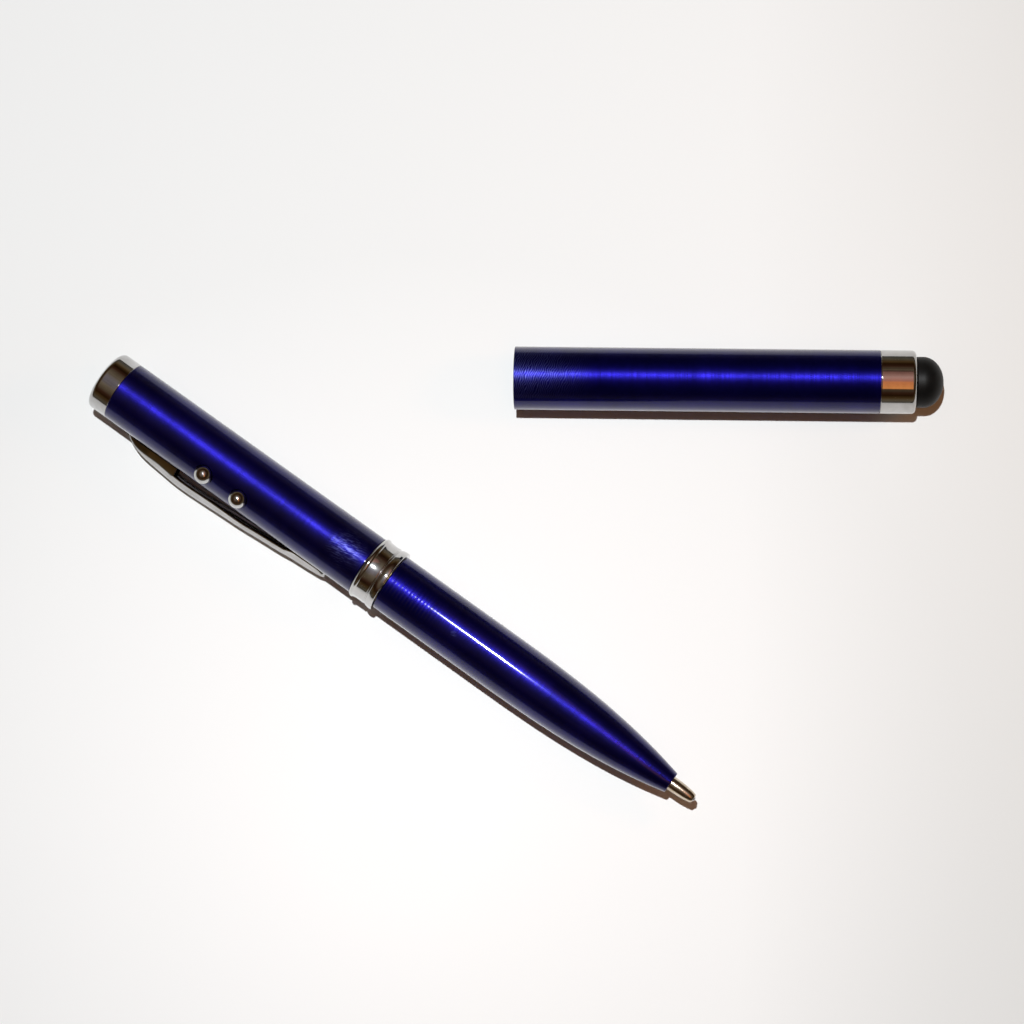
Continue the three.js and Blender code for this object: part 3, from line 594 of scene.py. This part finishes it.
# %% Head
BODY = 5.5
BARREL_WALL = 0.45
HEAD = 3.9
HEAD_ROUND = 0.9
HEAD_PLATE = 0.9
HEAD_SPIGOT = 1.9
HEAD_BORE = BODY - BARREL_WALL - 0.05 - 0.5
LAMP_OFFSET = 2.45
LAMP_HOLE = 1.62
LASER_OFFSET = 1.95
LASER_HOLE = 0.9
BUTTON_ANGLE = 43.0
SEAT = 0.05
head_profile = np.vstack([
    [[0, 0]],
    arc(HEAD_ROUND, BODY - HEAD_ROUND, HEAD_ROUND, HEAD_ROUND, 180, 90),
    rounded([
        (HEAD_ROUND, BODY), (HEAD, BODY, 0.12), (HEAD, BODY - BARREL_WALL - SEAT),
        (HEAD + HEAD_SPIGOT, BODY - BARREL_WALL - SEAT, 0.1), (HEAD + HEAD_SPIGOT, HEAD_BORE, 0.1),
        (HEAD_PLATE, HEAD_BORE), (HEAD_PLATE, 0),
    ])[1:],
])
head = turned("head_shell", head_profile, PEN)
head_side = PEN @ Matrix.Rotation(math.radians(BUTTON_ANGLE), 4, "X")
bored(
    head,
    drill(LAMP_HOLE, -1, 2, head_side @ Matrix.Translation((0, 0, LAMP_OFFSET))),
    drill(LASER_HOLE, -1, 2, head_side @ Matrix.Translation((0, 0, -LASER_OFFSET))),
)
finished(head, CHROME, "pen_body", "head_ferrule")

# %% [markdown]
# The lamp is a clear bulb with a dome, and it shows in its hole. Its glass and the flange behind
# it are turned finer in place of the solid, and its two legs are thin steel bars.

# %% Lamp bulb
LAMP = 1.5
LAMP_START = 0.15
bulb = np.vstack([
    arc(LAMP_START + LAMP, 0, LAMP, LAMP, 180, 90),
    rounded([(LAMP_START + LAMP, LAMP), (LAMP_START + 4, LAMP), (LAMP_START + 4, 1.9, 0.1),
             (LAMP_START + 5, 1.9, 0.1), (LAMP_START + 5, 0)])[1:],
])
LAMP_LEG = 0.25
LAMP_LEG_PLACE = 0.95
LAMP_LEG_LENGTH = 8.0


def bar(name, low, high, where):
    """A closed box between two corners, as six four-sided faces."""
    corners = np.array([[x, y, z] for x in (low[0], high[0]) for y in (low[1], high[1])
                        for z in (low[2], high[2])], float)
    faces = [(0, 1, 3, 2), (4, 6, 7, 5), (0, 4, 5, 1), (2, 3, 7, 6), (0, 2, 6, 4), (1, 5, 7, 3)]
    return mesh_object(name, placed(corners, where), faces)


lamp_place = head_side @ Matrix.Translation((0, 0, LAMP_OFFSET))
lamp = turned("lamp_bulb", bulb, lamp_place, 72)
finished(lamp, LENS, "pen_body", "led_lamp")
for side in (-1, 1):
    leg = bar(
        f"lamp_leg_{(side + 3) // 2}",
        (LAMP_START + 5, side * LAMP_LEG_PLACE - LAMP_LEG, -LAMP_LEG),
        (LAMP_START + 5 + LAMP_LEG_LENGTH, side * LAMP_LEG_PLACE + LAMP_LEG, LAMP_LEG),
        lamp_place,
    )
    finished(leg, STEEL, "pen_body")

# %% [markdown]
# The upper barrel is a thin drawn tube, lacquered blue. The buttons come out through two round
# holes in it and the clip through a slot, so these are cut from the finished tube. Both of its
# edges are rounded a little, and the thin dark line that separates it from the head is their gap.

# %% Upper barrel
BARREL = 52.9
BUTTON_PLACES = {"light": 24.85, "laser": 32.25}
BUTTON = 1.65
CLIP_ANGLE = math.radians(123)
CLIP_ROOT = 8.3
SLOT_LENGTH = 3.4
SLOT_HALF = 1.75
SLOT_START = CLIP_ROOT - SLOT_LENGTH / 3
SLOT_END = SLOT_START + SLOT_LENGTH
RUN_GAP = 0.12


def tube(start, end, inner, outer, lip=0.12):
    """A tube's closed profile with rounded lips outside and small ones inside."""
    return rounded([
        ((start + end) / 2, inner), (start, inner, lip), (start, outer, lip), (end, outer, lip),
        (end, inner, lip), ((start + end) / 2, inner),
    ])


barrel = turned(
    "upper_tube", tube(HEAD, HEAD + BARREL, BODY - BARREL_WALL, BODY), PEN,
)
slot_cutter = bar(
    "drill", (SLOT_START, -SLOT_HALF, 1), (SLOT_END, SLOT_HALF, BODY + 1),
    PEN @ Matrix.Rotation(CLIP_ANGLE, 4, "X"),
)
button_holes = [drill(BUTTON + RUN_GAP, 1, BODY + 1, side_frame(PEN, BUTTON_ANGLE, along))
                for along in BUTTON_PLACES.values()]
bored(barrel, slot_cutter, *button_holes)
finished(barrel, LACQUER, "pen_body", "upper_barrel")

# %% [markdown]
# The two buttons are plated pins with a round top, so each one mirrors the whole room as a small
# bright ball. They are turned about their own axis, which points straight out of the barrel, and a
# flange under the barrel's wall keeps them in.

# %% Buttons
BUTTON_TOP = BODY + 1.75
FLANGE = 2.1
FLANGE_TOP = math.sqrt((BODY - BARREL_WALL) ** 2 - FLANGE**2) - 0.17
FLANGE_BOTTOM = FLANGE_TOP - 0.5
button_profile = np.vstack([
    rounded([(FLANGE_BOTTOM, 0), (FLANGE_BOTTOM, FLANGE, 0.1), (FLANGE_TOP, FLANGE, 0.1),
             (FLANGE_TOP, BUTTON)]),
    arc(BUTTON_TOP - BUTTON, 0, BUTTON, BUTTON, 90, 0),
])
for use, along in BUTTON_PLACES.items():
    button = turned(f"{use}_pin", button_profile, side_frame(PEN, BUTTON_ANGLE, along), 72)
    finished(button, CHROME, f"{use}_push", f"{use}_button")

# %% [markdown]
# The ring hides the screwed joint. From the head side it has a broad round bead, then a shallow
# hollow, a fine groove, and a flange that flares out. Each of these catches the lamp at its own
# place, so the profile strings them together as arcs.

# %% Centre ring
RING_START = HEAD + BARREL
RING = 4.9
RING_RIM = 11.75 / 2
RING_WAIST = 11.3 / 2
RING_BORE = 4.3
RING_BACK_BORE = 4.8
BEAD = 0.57
ring_end = RING_START + RING
ring_profile = np.vstack([
    rounded([(RING_START + 2.2, RING_BACK_BORE), (RING_START + SEAT, RING_BACK_BORE, 0.1),
             (RING_START + SEAT, RING_RIM - BEAD)])[:-1],
    arc(RING_START + SEAT + BEAD, RING_RIM - BEAD, BEAD, BEAD, 180, 45),
    rounded([
        (RING_START + 1.05, RING_RIM - 0.19), (RING_START + 1.22, RING_WAIST + 0.02, 0.14),
        (RING_START + 2.2, RING_WAIST - 0.05, 0.85), (RING_START + 3.1, RING_WAIST + 0.02, 0.12),
        (RING_START + 3.22, RING_WAIST - 0.14, 0.05), (RING_START + 3.36, RING_WAIST - 0.13, 0.05),
        (RING_START + 3.5, RING_WAIST + 0.03, 0.1), (RING_START + 4.15, RING_RIM - 0.02, 0.3),
        (ring_end - SEAT, RING_RIM - 0.08, 0.18), (ring_end - SEAT, RING_BORE, 0.1),
        (ring_end - 1.15, RING_BORE), (ring_end - 1.15, RING_BACK_BORE),
        (RING_START + 2.2, RING_BACK_BORE),
    ]),
])
ring = turned("ring", ring_profile, PEN)
finished(ring, HANDLED_CHROME, "pen_body", "centre_ring")

# %% [markdown]
# The lower barrel runs straight for a third of its length, then bends gently down to the nose. Such
# a curve is a power law: the radius falls by the share of the way to a power of nearly three, slow
# at first and quicker towards the tip.

# %% Lower barrel
LOWER_START = ring_end + SEAT
LOWER = 59.2
LOWER_RADIUS = 5.22
LOWER_WALL = 0.5
STRAIGHT = 20.0
NOSE = 1.9
TAPER_POWER = 2.85
TIP_HOLE = 1.37
along = np.linspace(0, 1, 60)
taper = LOWER_RADIUS - (LOWER_RADIUS - NOSE) * along**TAPER_POWER
bend = np.column_stack([LOWER_START + STRAIGHT + (LOWER - STRAIGHT) * along, taper])
inside = bend[taper - LOWER_WALL > TIP_HOLE + SEAT] - [0, LOWER_WALL]
lower_profile = np.vstack([
    rounded([(LOWER_START + STRAIGHT, LOWER_RADIUS - LOWER_WALL),
             (LOWER_START, LOWER_RADIUS - LOWER_WALL, 0.1), (LOWER_START, LOWER_RADIUS, 0.15),
             (LOWER_START + STRAIGHT, LOWER_RADIUS)])[:-1],
    bend[:-1],
    rounded([bend[-2], (LOWER_START + LOWER, NOSE, 0.12), (LOWER_START + LOWER, TIP_HOLE, 0.05),
             (inside[-1][0] + 0.5, TIP_HOLE), tuple(inside[-1])])[1:-1],
    inside[::-1],
])
lower = turned("lower_tube", lower_profile, PEN)
finished(lower, LACQUER, "lower_section", "lower_barrel")

# %% [markdown]
# The writing tip is a slender turned cone in the nose, with a ball in its socket. The visible part
# starts as a short straight collar and then narrows along an ellipse to the rim round the ball.

# %% Writing tip and ball
TIP_END = LOWER_START - SEAT + LOWER + 5
TUBE_END = TIP_END - 9
TIP_BASE = 1.25
RIM = 0.66
BALL = 0.5
SOCKET = 0.56
rim_place = TIP_END - 0.3
mouth = math.degrees(math.acos((rim_place - (TIP_END - BALL)) / SOCKET))
tip_profile = np.vstack([
    rounded([(TUBE_END - 2.5, 0), (TUBE_END - 2.5, 0.775, 0.1), (TUBE_END + SEAT, 0.775),
             (TUBE_END + SEAT, TIP_BASE, 0.1), (TUBE_END + 4, TIP_BASE)])[:-1],
    arc(TUBE_END + 4, RIM, rim_place - TUBE_END - 4, TIP_BASE - RIM, 90, 0),
    arc(TIP_END - BALL, 0, SOCKET, SOCKET, mouth, 180),
])
tip = turned("tip_cone", tip_profile, PEN, 96)
finished(tip, NICKEL, "refill", "refill_tip")
ball = turned("writing_ball", arc(TIP_END - BALL, 0, BALL, BALL, 180, 0), PEN, 48)
finished(ball, STEEL, "writing_ball", "tip_ball")

# %% [markdown]
# The clip is one strip of sprung, plated sheet. It leaves the barrel through the slot, arches away
# from it and comes back until its sides rest on the barrel near its tip. Its narrow top is crowned,
# its long edges are rolled over, and its sides are splayed like a roof. Up to a notch, walls under
# the sides close the gap to the barrel. It is a section carried along a curve: the curve is a
# spline through a few points, and the section changes its width and depth on the way. Its lower
# side is shallower than its upper one, and its line runs a little closer to the barrel than the
# solid's does.

# %% Clip
CLIP_REACH = 43.0
CLIP_RISE = 3.4
CLIP_HALF = 1.85
CLIP_ROOT_HALF = 1.6
CLIP_TIP_HALF = 1.4
CLIP_SHEET = 0.45
CLIP_CORNER = 0.5
CLIP_CROWN = 0.3
CLIP_SPLAY = math.radians(24)
CLIP_LIP = 0.2
CLIP_LEAST_DEPTH = 0.6
CLIP_SIDE_DEPTH = 1.6
CLIP_LOWER_DEPTH = 0.65
CLIP_SIDE_GROWTH = 8
CLIP_THINNING = (16, 27)
CLIP_THINNED = 0.4
CLIP_NOTCH = 10.6
CLIP_NOTCH_RAMP = 0.25
CLIP_NARROWING = 12
PAD_RAMP_IN = (6.3, 8.8)
PAD_RAMP_OUT = (0.7, 1.6)
TIP_ROUND = 1.5
TIP_TAPER = 0.4
HEEL = (1.6, 1.0)
CLIP_LINE = [
    (0.015, 0.2), (0.063, 0.54), (0.109, 0.71), (0.156, 0.81), (0.202, 0.88), (0.272, 0.965),
    (0.342, 0.97), (0.412, 0.925), (0.505, 0.845), (0.598, 0.775), (0.691, 0.665), (0.784, 0.58),
    (0.853, 0.53), (0.9, 0.5), (0.947, 0.45), (1, 0.37),
]


def spline(knots, count):
    """A curve through the knots, each stretch a cubic whose ends aim along its neighbours' chord,
    read at equal distances."""
    knots = np.array(knots, float)
    padded = np.vstack([knots[:1], knots, knots[-1:]])
    t = np.linspace(0, len(knots) - 1, 60 * len(knots))
    cell = np.minimum(t.astype(int), len(knots) - 2)
    s = (t - cell)[:, None]
    before, start, end, after = (padded[cell + k] for k in range(4))
    pull_start, pull_end = (end - before) / 2, (after - start) / 2
    line = (
        (2 * start - 2 * end + pull_start + pull_end) * s**3
        + (-3 * start + 3 * end - 2 * pull_start - pull_end) * s**2 + pull_start * s + start
    )
    travel = np.concatenate([[0], np.cumsum(np.linalg.norm(np.diff(line, axis=0), axis=1))])
    even = np.linspace(0, travel[-1], count)
    return np.column_stack([np.interp(even, travel, line[:, k]) for k in range(2)])


def smooth(value, low, high):
    """0 below low, 1 above high, and an even S in between."""
    t = np.clip((value - low) / (high - low), 0, 1)
    return t * t * (3 - 2 * t)


def clip_half_width(along):
    grow = CLIP_ROOT_HALF + (CLIP_HALF - CLIP_ROOT_HALF) * smooth(along, 0.5, CLIP_NOTCH / 2)
    shrink = (CLIP_HALF - CLIP_TIP_HALF) * smooth(along, CLIP_REACH - CLIP_NARROWING, CLIP_REACH)
    into_tip = np.clip((along - CLIP_REACH + TIP_ROUND) / TIP_ROUND, 0, 1)
    return (grow - shrink) * (1 - TIP_TAPER * (1 - np.sqrt(1 - into_tip**2)))


def clip_depths(along, height, half, deep):
    """How far below the crest a splayed side ends, and how far the wall under it reaches. Near the
    tip and up to the notch something always comes down to the barrel's surface."""
    room = height - np.sqrt(BODY**2 - (half - CLIP_SHEET) ** 2) - RUN_GAP
    from_tip = CLIP_REACH - along
    swell = smooth(along, 0, CLIP_SIDE_GROWTH) * (1 - CLIP_THINNED * smooth(along, *CLIP_THINNING))
    free = CLIP_LEAST_DEPTH + (deep - CLIP_LEAST_DEPTH) * swell
    on_barrel = (1 - smooth(from_tip, *PAD_RAMP_IN)) * smooth(from_tip, *PAD_RAMP_OUT)
    side = np.minimum(free + (room - CLIP_LIP - free) * on_barrel, room - CLIP_LIP)
    side = np.maximum(side, CLIP_LEAST_DEPTH)
    walled = 1 - smooth(along, CLIP_NOTCH, CLIP_NOTCH + CLIP_NOTCH_RAMP)
    least = side + CLIP_LIP
    return side, least + (np.maximum(least, room) - least) * walled


def clip_side(half, full, side, wall, inset):
    """One side at each row: wall, splayed side and rolled edge, and where the top starts. The
    splayed side is aimed at the full depth and cut off at the side's own. Extra points near both
    ends of each flat stretch keep the soft shading at its edges."""
    slope = full - CLIP_CROWN - CLIP_CORNER * (1 - math.sin(CLIP_SPLAY))
    flat = half - CLIP_CORNER * math.cos(CLIP_SPLAY) - slope * math.tan(CLIP_SPLAY)
    shoulder = CLIP_CROWN * (flat / half) ** 2
    bend = np.linspace(CLIP_SPLAY, math.pi / 2, 9)
    radius = CLIP_CORNER - inset
    rolled = np.stack([
        flat[:, None] + radius * np.cos(bend),
        (-shoulder - CLIP_CORNER)[:, None] + radius * np.sin(bend),
    ], axis=-1)
    lip = half - (full - side) * math.tan(CLIP_SPLAY) - inset
    foot = np.stack([lip, -wall], axis=-1)[:, None]
    edge = np.stack([lip, -side - inset * math.tan(CLIP_SPLAY / 2)], axis=-1)[:, None]
    line = np.concatenate([
        foot, foot + (edge - foot) * 0.15, foot + (edge - foot) * 0.85,
        edge + (rolled[:, :1] - edge) * 0.05, edge + (rolled[:, :1] - edge) * 0.95, rolled,
    ], axis=1)
    return line, flat[:, None]


def clip_section(half, lower, upper, inset):
    """Across the strip at each row: up the lower side, over the crowned top and down the upper one.
    inset 0 gives the outer face, and the sheet's thickness gives the inner one."""
    low, flat = clip_side(half, upper[0], *lower, inset)
    high, flat = clip_side(half, upper[0], *upper, inset)
    across = flat * np.linspace(-0.9, 0.9, 15)
    top = np.stack([across, -inset - CLIP_CROWN * (across / half[:, None]) ** 2], axis=-1)
    return np.concatenate([low * [-1, 1], top, high[:, ::-1]], axis=1)


def clip_strip(name, rows=320):
    """P(s, k) = line(s) + section(s, k) on the line's normal and across it, closed all round."""
    base = BODY - HEEL[1]
    knots = [(-HEEL[0], base), (-HEEL[0] / 3, base)]
    knots += [(a * CLIP_REACH, BODY + r * CLIP_RISE) for a, r in CLIP_LINE]
    line = spline(knots, rows)
    tangent = np.gradient(line, axis=0)
    tangent /= np.linalg.norm(tangent, axis=1, keepdims=True)
    half = clip_half_width(line[:, 0])
    lower, upper = (
        clip_depths(line[:, 0], line[:, 1], half, deep) for deep in (CLIP_LOWER_DEPTH, CLIP_SIDE_DEPTH)
    )
    outer = clip_section(half, lower, upper, 0.0)
    inner = clip_section(half, lower, upper, CLIP_SHEET)
    loop = np.concatenate([outer, inner[:, ::-1], outer[:, :1]], axis=1)
    x = line[:, 0, None] - tangent[:, 1, None] * loop[..., 1]
    z = line[:, 1, None] + tangent[:, 0, None] * loop[..., 1]
    points = np.stack([x, loop[..., 0], z], axis=-1)
    columns = loop.shape[1]
    faces = grid_faces(rows, columns)
    first = list(range(columns - 1))
    last = [(rows - 1) * columns + k for k in first]
    where = PEN @ Matrix.Translation((CLIP_ROOT, 0, 0)) @ Matrix.Rotation(CLIP_ANGLE, 4, "X")
    return mesh_object(name, placed(points.reshape(-1, 3), where), [first[::-1], last, *faces])


clip = clip_strip("clip_strip")
finished(clip, CHROME, "clip_blade", "clip")

# %% [markdown]
# The cap is a very thin tube, so its mouth shows a narrow lip. A plated ferrule closes the far end,
# with a rounded shoulder and a hole in its face for the soft tip's neck.

# %% Cap
CAP_TUBE = 63.1
CAP_WALL = 0.23
CAP_FERRULE = 6.1
CAP_END = CAP_TUBE + CAP_FERRULE
CAP_END_WALL = 0.8
FERRULE_SPIGOT = 3
FERRULE_WALL = 0.6
FERRULE_ROUND = 0.75
CAP_BORE = BODY - CAP_WALL
NECK = 3.0
cap_tube = turned("cap_shell", tube(0, CAP_TUBE - SEAT, CAP_BORE, BODY, 0.08), CAP)
finished(cap_tube, CAP_LACQUER, "cap", "cap_tube")
ferrule_bore = CAP_BORE - SEAT - FERRULE_WALL
ferrule_profile = np.vstack([
    rounded([(CAP_TUBE, ferrule_bore), (CAP_TUBE - FERRULE_SPIGOT, ferrule_bore, 0.1),
             (CAP_TUBE - FERRULE_SPIGOT, CAP_BORE - SEAT, 0.1), (CAP_TUBE, CAP_BORE - SEAT),
             (CAP_TUBE, BODY, 0.12), (CAP_TUBE + 2, BODY)])[:-1],
    arc(CAP_END - FERRULE_ROUND, BODY - FERRULE_ROUND, FERRULE_ROUND, FERRULE_ROUND, 90, 0),
    rounded([(CAP_END, BODY - FERRULE_ROUND), (CAP_END, NECK + SEAT, 0.1),
             (CAP_END - CAP_END_WALL, NECK + SEAT), (CAP_END - CAP_END_WALL, ferrule_bore),
             (CAP_TUBE, ferrule_bore)])[1:],
])
ferrule = turned("cap_end", ferrule_profile, CAP)
finished(ferrule, CHROME, "cap", "cap_ferrule")

# %% [markdown]
# The soft tip is a hollow dome of conductive rubber with a short straight skirt. It sits on a plug
# inside the ferrule. Its edge is generously rounded, as moulded rubber always is.

# %% Soft tip
SOFT = 4.4
SOFT_START = CAP_END + SEAT
SOFT_SKIRT = 1.2
SOFT_END = CAP_END + 4.8
PLUG_END = CAP_END - CAP_END_WALL - SEAT
STEM = 1.55
soft_profile = np.vstack([
    rounded([(PLUG_END + 3.45, 0), (PLUG_END + 3.45, STEM, 0.1), (PLUG_END + SEAT, STEM),
             (PLUG_END + SEAT, NECK), (SOFT_START, NECK), (SOFT_START, SOFT, 0.35),
             (SOFT_START + SOFT_SKIRT, SOFT)])[:-1],
    arc(SOFT_START + SOFT_SKIRT, 0, SOFT_END - SOFT_START - SOFT_SKIRT, SOFT, 90, 0),
])
soft = turned("soft_tip", soft_profile, CAP)
finished(soft, RUBBER, "cap", "stylus_tip")

# %% [markdown]
# The solids inside that nothing replaces stay as they are, in the finishes that they were given.
# Each is also filed under the name of its finish.

# %% Solids that stay
print("solids shown", sum(not node.hide_render for node in nodes.values()))

# %% [markdown]
# The set is a white table under a small lamp, in a dim brown room. The table is what both edges of
# every barrel mirror, and the room is what makes their middles dark. The table is made to end a few
# centimetres behind the cap, so that the bright band along each barrel's far edge comes out narrower
# than the one along its near edge.

# %% Table
# A painted pool of light and painted shade, both in the table's colour.
PAINTED_POOL_CENTRE = (-0.019, -0.043)
TABLE_X = (-0.8, 0.8)
TABLE_Y = (-1.2, 0.107)
PAINTED_POOL_REACH = (0.015, 0.1)
PAINTED_SHADE_X = (0.04, 0.11)


def table_top():
    """White, with a painted pool of light round a given spot, and painted shade that darkens it
    towards its right end, offsetting the warm light that falls there."""
    finish = Finish("table_top")
    centred = finish.node(
        "Mapping", {"vector_type": "POINT"},
        {"Vector": finish.place(), "Location": (-PAINTED_POOL_CENTRE[0], -PAINTED_POOL_CENTRE[1], 0)},
    )
    away = finish.node("VectorMath", {"operation": "LENGTH"}, {0: centred}, output="Value")
    # Painted pool of light: the table's colour is brighter round a given spot.
    glow = 1 - away.between(*PAINTED_POOL_REACH)
    painted_pool = finish.blend(glow, (0.775, 0.785, 0.785), (0.93, 0.93, 0.93))
    # Painted shade: the colour darkens towards the right end, offsetting the warm light there.
    right = finish.node("SeparateXYZ", None, {0: finish.place()}, output="X").between(*PAINTED_SHADE_X)
    colour = finish.blend(right, painted_pool, (0.63, 0.645, 0.64))
    grain = finish.noise(2500, detail=3)
    return finish.drive(
        Base_Color=colour, Roughness=0.5 + 0.1 * grain, Normal=finish.relief(grain, 0.000004),
    )


corner = np.array([(x, y, 0) for x, y in zip(TABLE_X + TABLE_X[::-1], np.repeat(TABLE_Y, 2))], float)
table = mesh_object("table", corner, [(0, 1, 2, 3)])
table.data.materials.append(table_top())

# %% [markdown]
# One small, strong lamp stands beside the camera. It gives the short shadow with a fairly sharp
# edge, and its mirror image makes the streak, the white line on the lower barrel and the glints.
# It stands as far to the side as puts those where they belong on the barrels.

# %% Lamp
LAMP_DISTANCE = 0.9
LAMP_SLOPES = (-0.015, 0.138)
LAMP_WIDTH = 0.022
LAMP_POWER = 7.9
LAMP_COLOUR = (0.955, 0.985, 1.0)
lamp_data = bpy.data.lights.new("table_lamp", "AREA")
lamp_data.shape = "DISK"
lamp_data.size = LAMP_WIDTH
lamp_data.energy = LAMP_POWER
lamp_data.color = LAMP_COLOUR
table_lamp = bpy.data.objects.new("table_lamp", lamp_data)
to_lamp = Vector((*LAMP_SLOPES, 1)).normalized()
lamp_turn = to_lamp.to_track_quat("Z", "Y").to_matrix().to_4x4()
table_lamp.matrix_world = Matrix.Translation(to_lamp * LAMP_DISTANCE) @ lamp_turn
bpy.context.scene.collection.objects.link(table_lamp)

# %% [markdown]
# The cap's ferrule mirrors a warm patch of the room. It is a glowing card beside the camera, which
# the camera itself cannot see, and it fades towards both ends. Its place is chosen for the ferrule,
# but it is a thing in the room: the head, the ring, the buttons and the clip mirror it faintly from
# above, and more of it from other sides.

# %% Warm card
CARD_X = (0.085, 0.2)
CARD_Y = (-0.37, 0.38)
CARD_HEIGHT = 0.55
CARD_UNEVEN = 0.16
CARD_STOPS = [
    (0.0, (0.1, 0.03, 0.01)), (0.05, (0.9, 0.33, 0.09)), (0.4, (0.75, 0.24, 0.08)),
    (0.47, (0.5, 0.19, 0.13)), (0.67, (0.44, 0.22, 0.17)), (0.85, (0.24, 0.11, 0.085)),
    (1.0, (0.06, 0.03, 0.02)),
]


def warm_glow():
    """A dull cloth that glows in the ramp's colours along Y, unevenly."""
    finish = Finish("warm_glow")
    along = finish.node("SeparateXYZ", None, {0: finish.place()}, output="Y").between(*CARD_Y)
    uneven = finish.noise(12, detail=2)
    glow = finish.node("ValToRGB", {"stops": CARD_STOPS}, {0: along + CARD_UNEVEN * (uneven - 0.5)})
    finish.drive(
        Base_Color=finish.blend(uneven, (0.03, 0.02, 0.015), (0.05, 0.03, 0.02)),
        Roughness=0.8 + 0.1 * uneven, Emission_Color=glow,
    )
    finish.shader.inputs["Emission Strength"].default_value = 1.0
    return finish.material


card_corners = [(x, y, CARD_HEIGHT) for x, y in zip(CARD_X + CARD_X[::-1], np.repeat(CARD_Y, 2))]
card = mesh_object("warm_card", card_corners, [(3, 2, 1, 0)])
card.data.materials.append(warm_glow())
card.visible_camera = False
card.visible_shadow = False
print("card", card_corners)

# %% [markdown]
# The same warm light falls on the right end of the table, and into the shadow beside the soft tip.
# It comes from low down on that side, so it is gone by the time it reaches the pen.

# %% Warm light
WARM_PLACE = (0.22, 0.06, 0.15)
WARM_AIM = (0.07, 0.03, 0.0)
WARM_WIDTH = 0.06
WARM_POWER = 0.052
WARM_COLOUR = (1.0, 0.4, 0.1)
warm_data = bpy.data.lights.new("warm_light", "AREA")
warm_data.shape = "DISK"
warm_data.size = WARM_WIDTH
warm_data.energy = WARM_POWER
warm_data.color = WARM_COLOUR
warm_light = bpy.data.objects.new("warm_light", warm_data)
aim = Vector(WARM_PLACE) - Vector(WARM_AIM)
warm_turn = aim.to_track_quat("Z", "Y").to_matrix().to_4x4()
warm_light.matrix_world = Matrix.Translation(WARM_PLACE) @ warm_turn
warm_light.visible_glossy = False
warm_light.visible_camera = False
bpy.context.scene.collection.objects.link(warm_light)
print("warm light", round(aim.length, 3), "m from the ferrule")

# %% [markdown]
# The room around the table is what plated metal mirrors above its two bright edges. It is dark
# brown at eye level and a dim grey overhead, cloudy, and darker in places than in others.

# %% Room
ROOM_STOPS = [
    (0.0, (0.1, 0.09, 0.075)), (0.2, (0.12, 0.09, 0.055)), (0.34, (0.08, 0.045, 0.016)),
    (0.5, (0.022, 0.0075, 0.002)), (0.65, (0.05, 0.02, 0.01)), (0.82, (0.12, 0.088, 0.055)),
    (0.9, (0.17, 0.13, 0.088)), (1.0, (0.215, 0.19, 0.225)),
]
world = bpy.data.worlds.new("room")
bpy.context.scene.world = world
world.use_nodes = True


class Room(Finish):
    """The same helper on the world's own nodes."""

    def __init__(self, world):
        self.material = world
        self.tree = world.node_tree
        self.shader = self.tree.nodes["Background"]


room = Room(world)
direction = room.node("TexCoord", output="Generated")
clouds = room.noise(3.2, detail=2, where=direction).between(0.3, 0.7)
height = room.node("SeparateXYZ", None, {0: direction}, output="Z")
glow = room.node("ValToRGB", {"stops": ROOM_STOPS}, {0: height})
room.drive(Color=room.blend(0.45 + 0.75 * clouds, (0, 0, 0), glow))
bpy.context.scene.view_settings.view_transform = "Standard"
print("room nodes", len(room.tree.nodes))
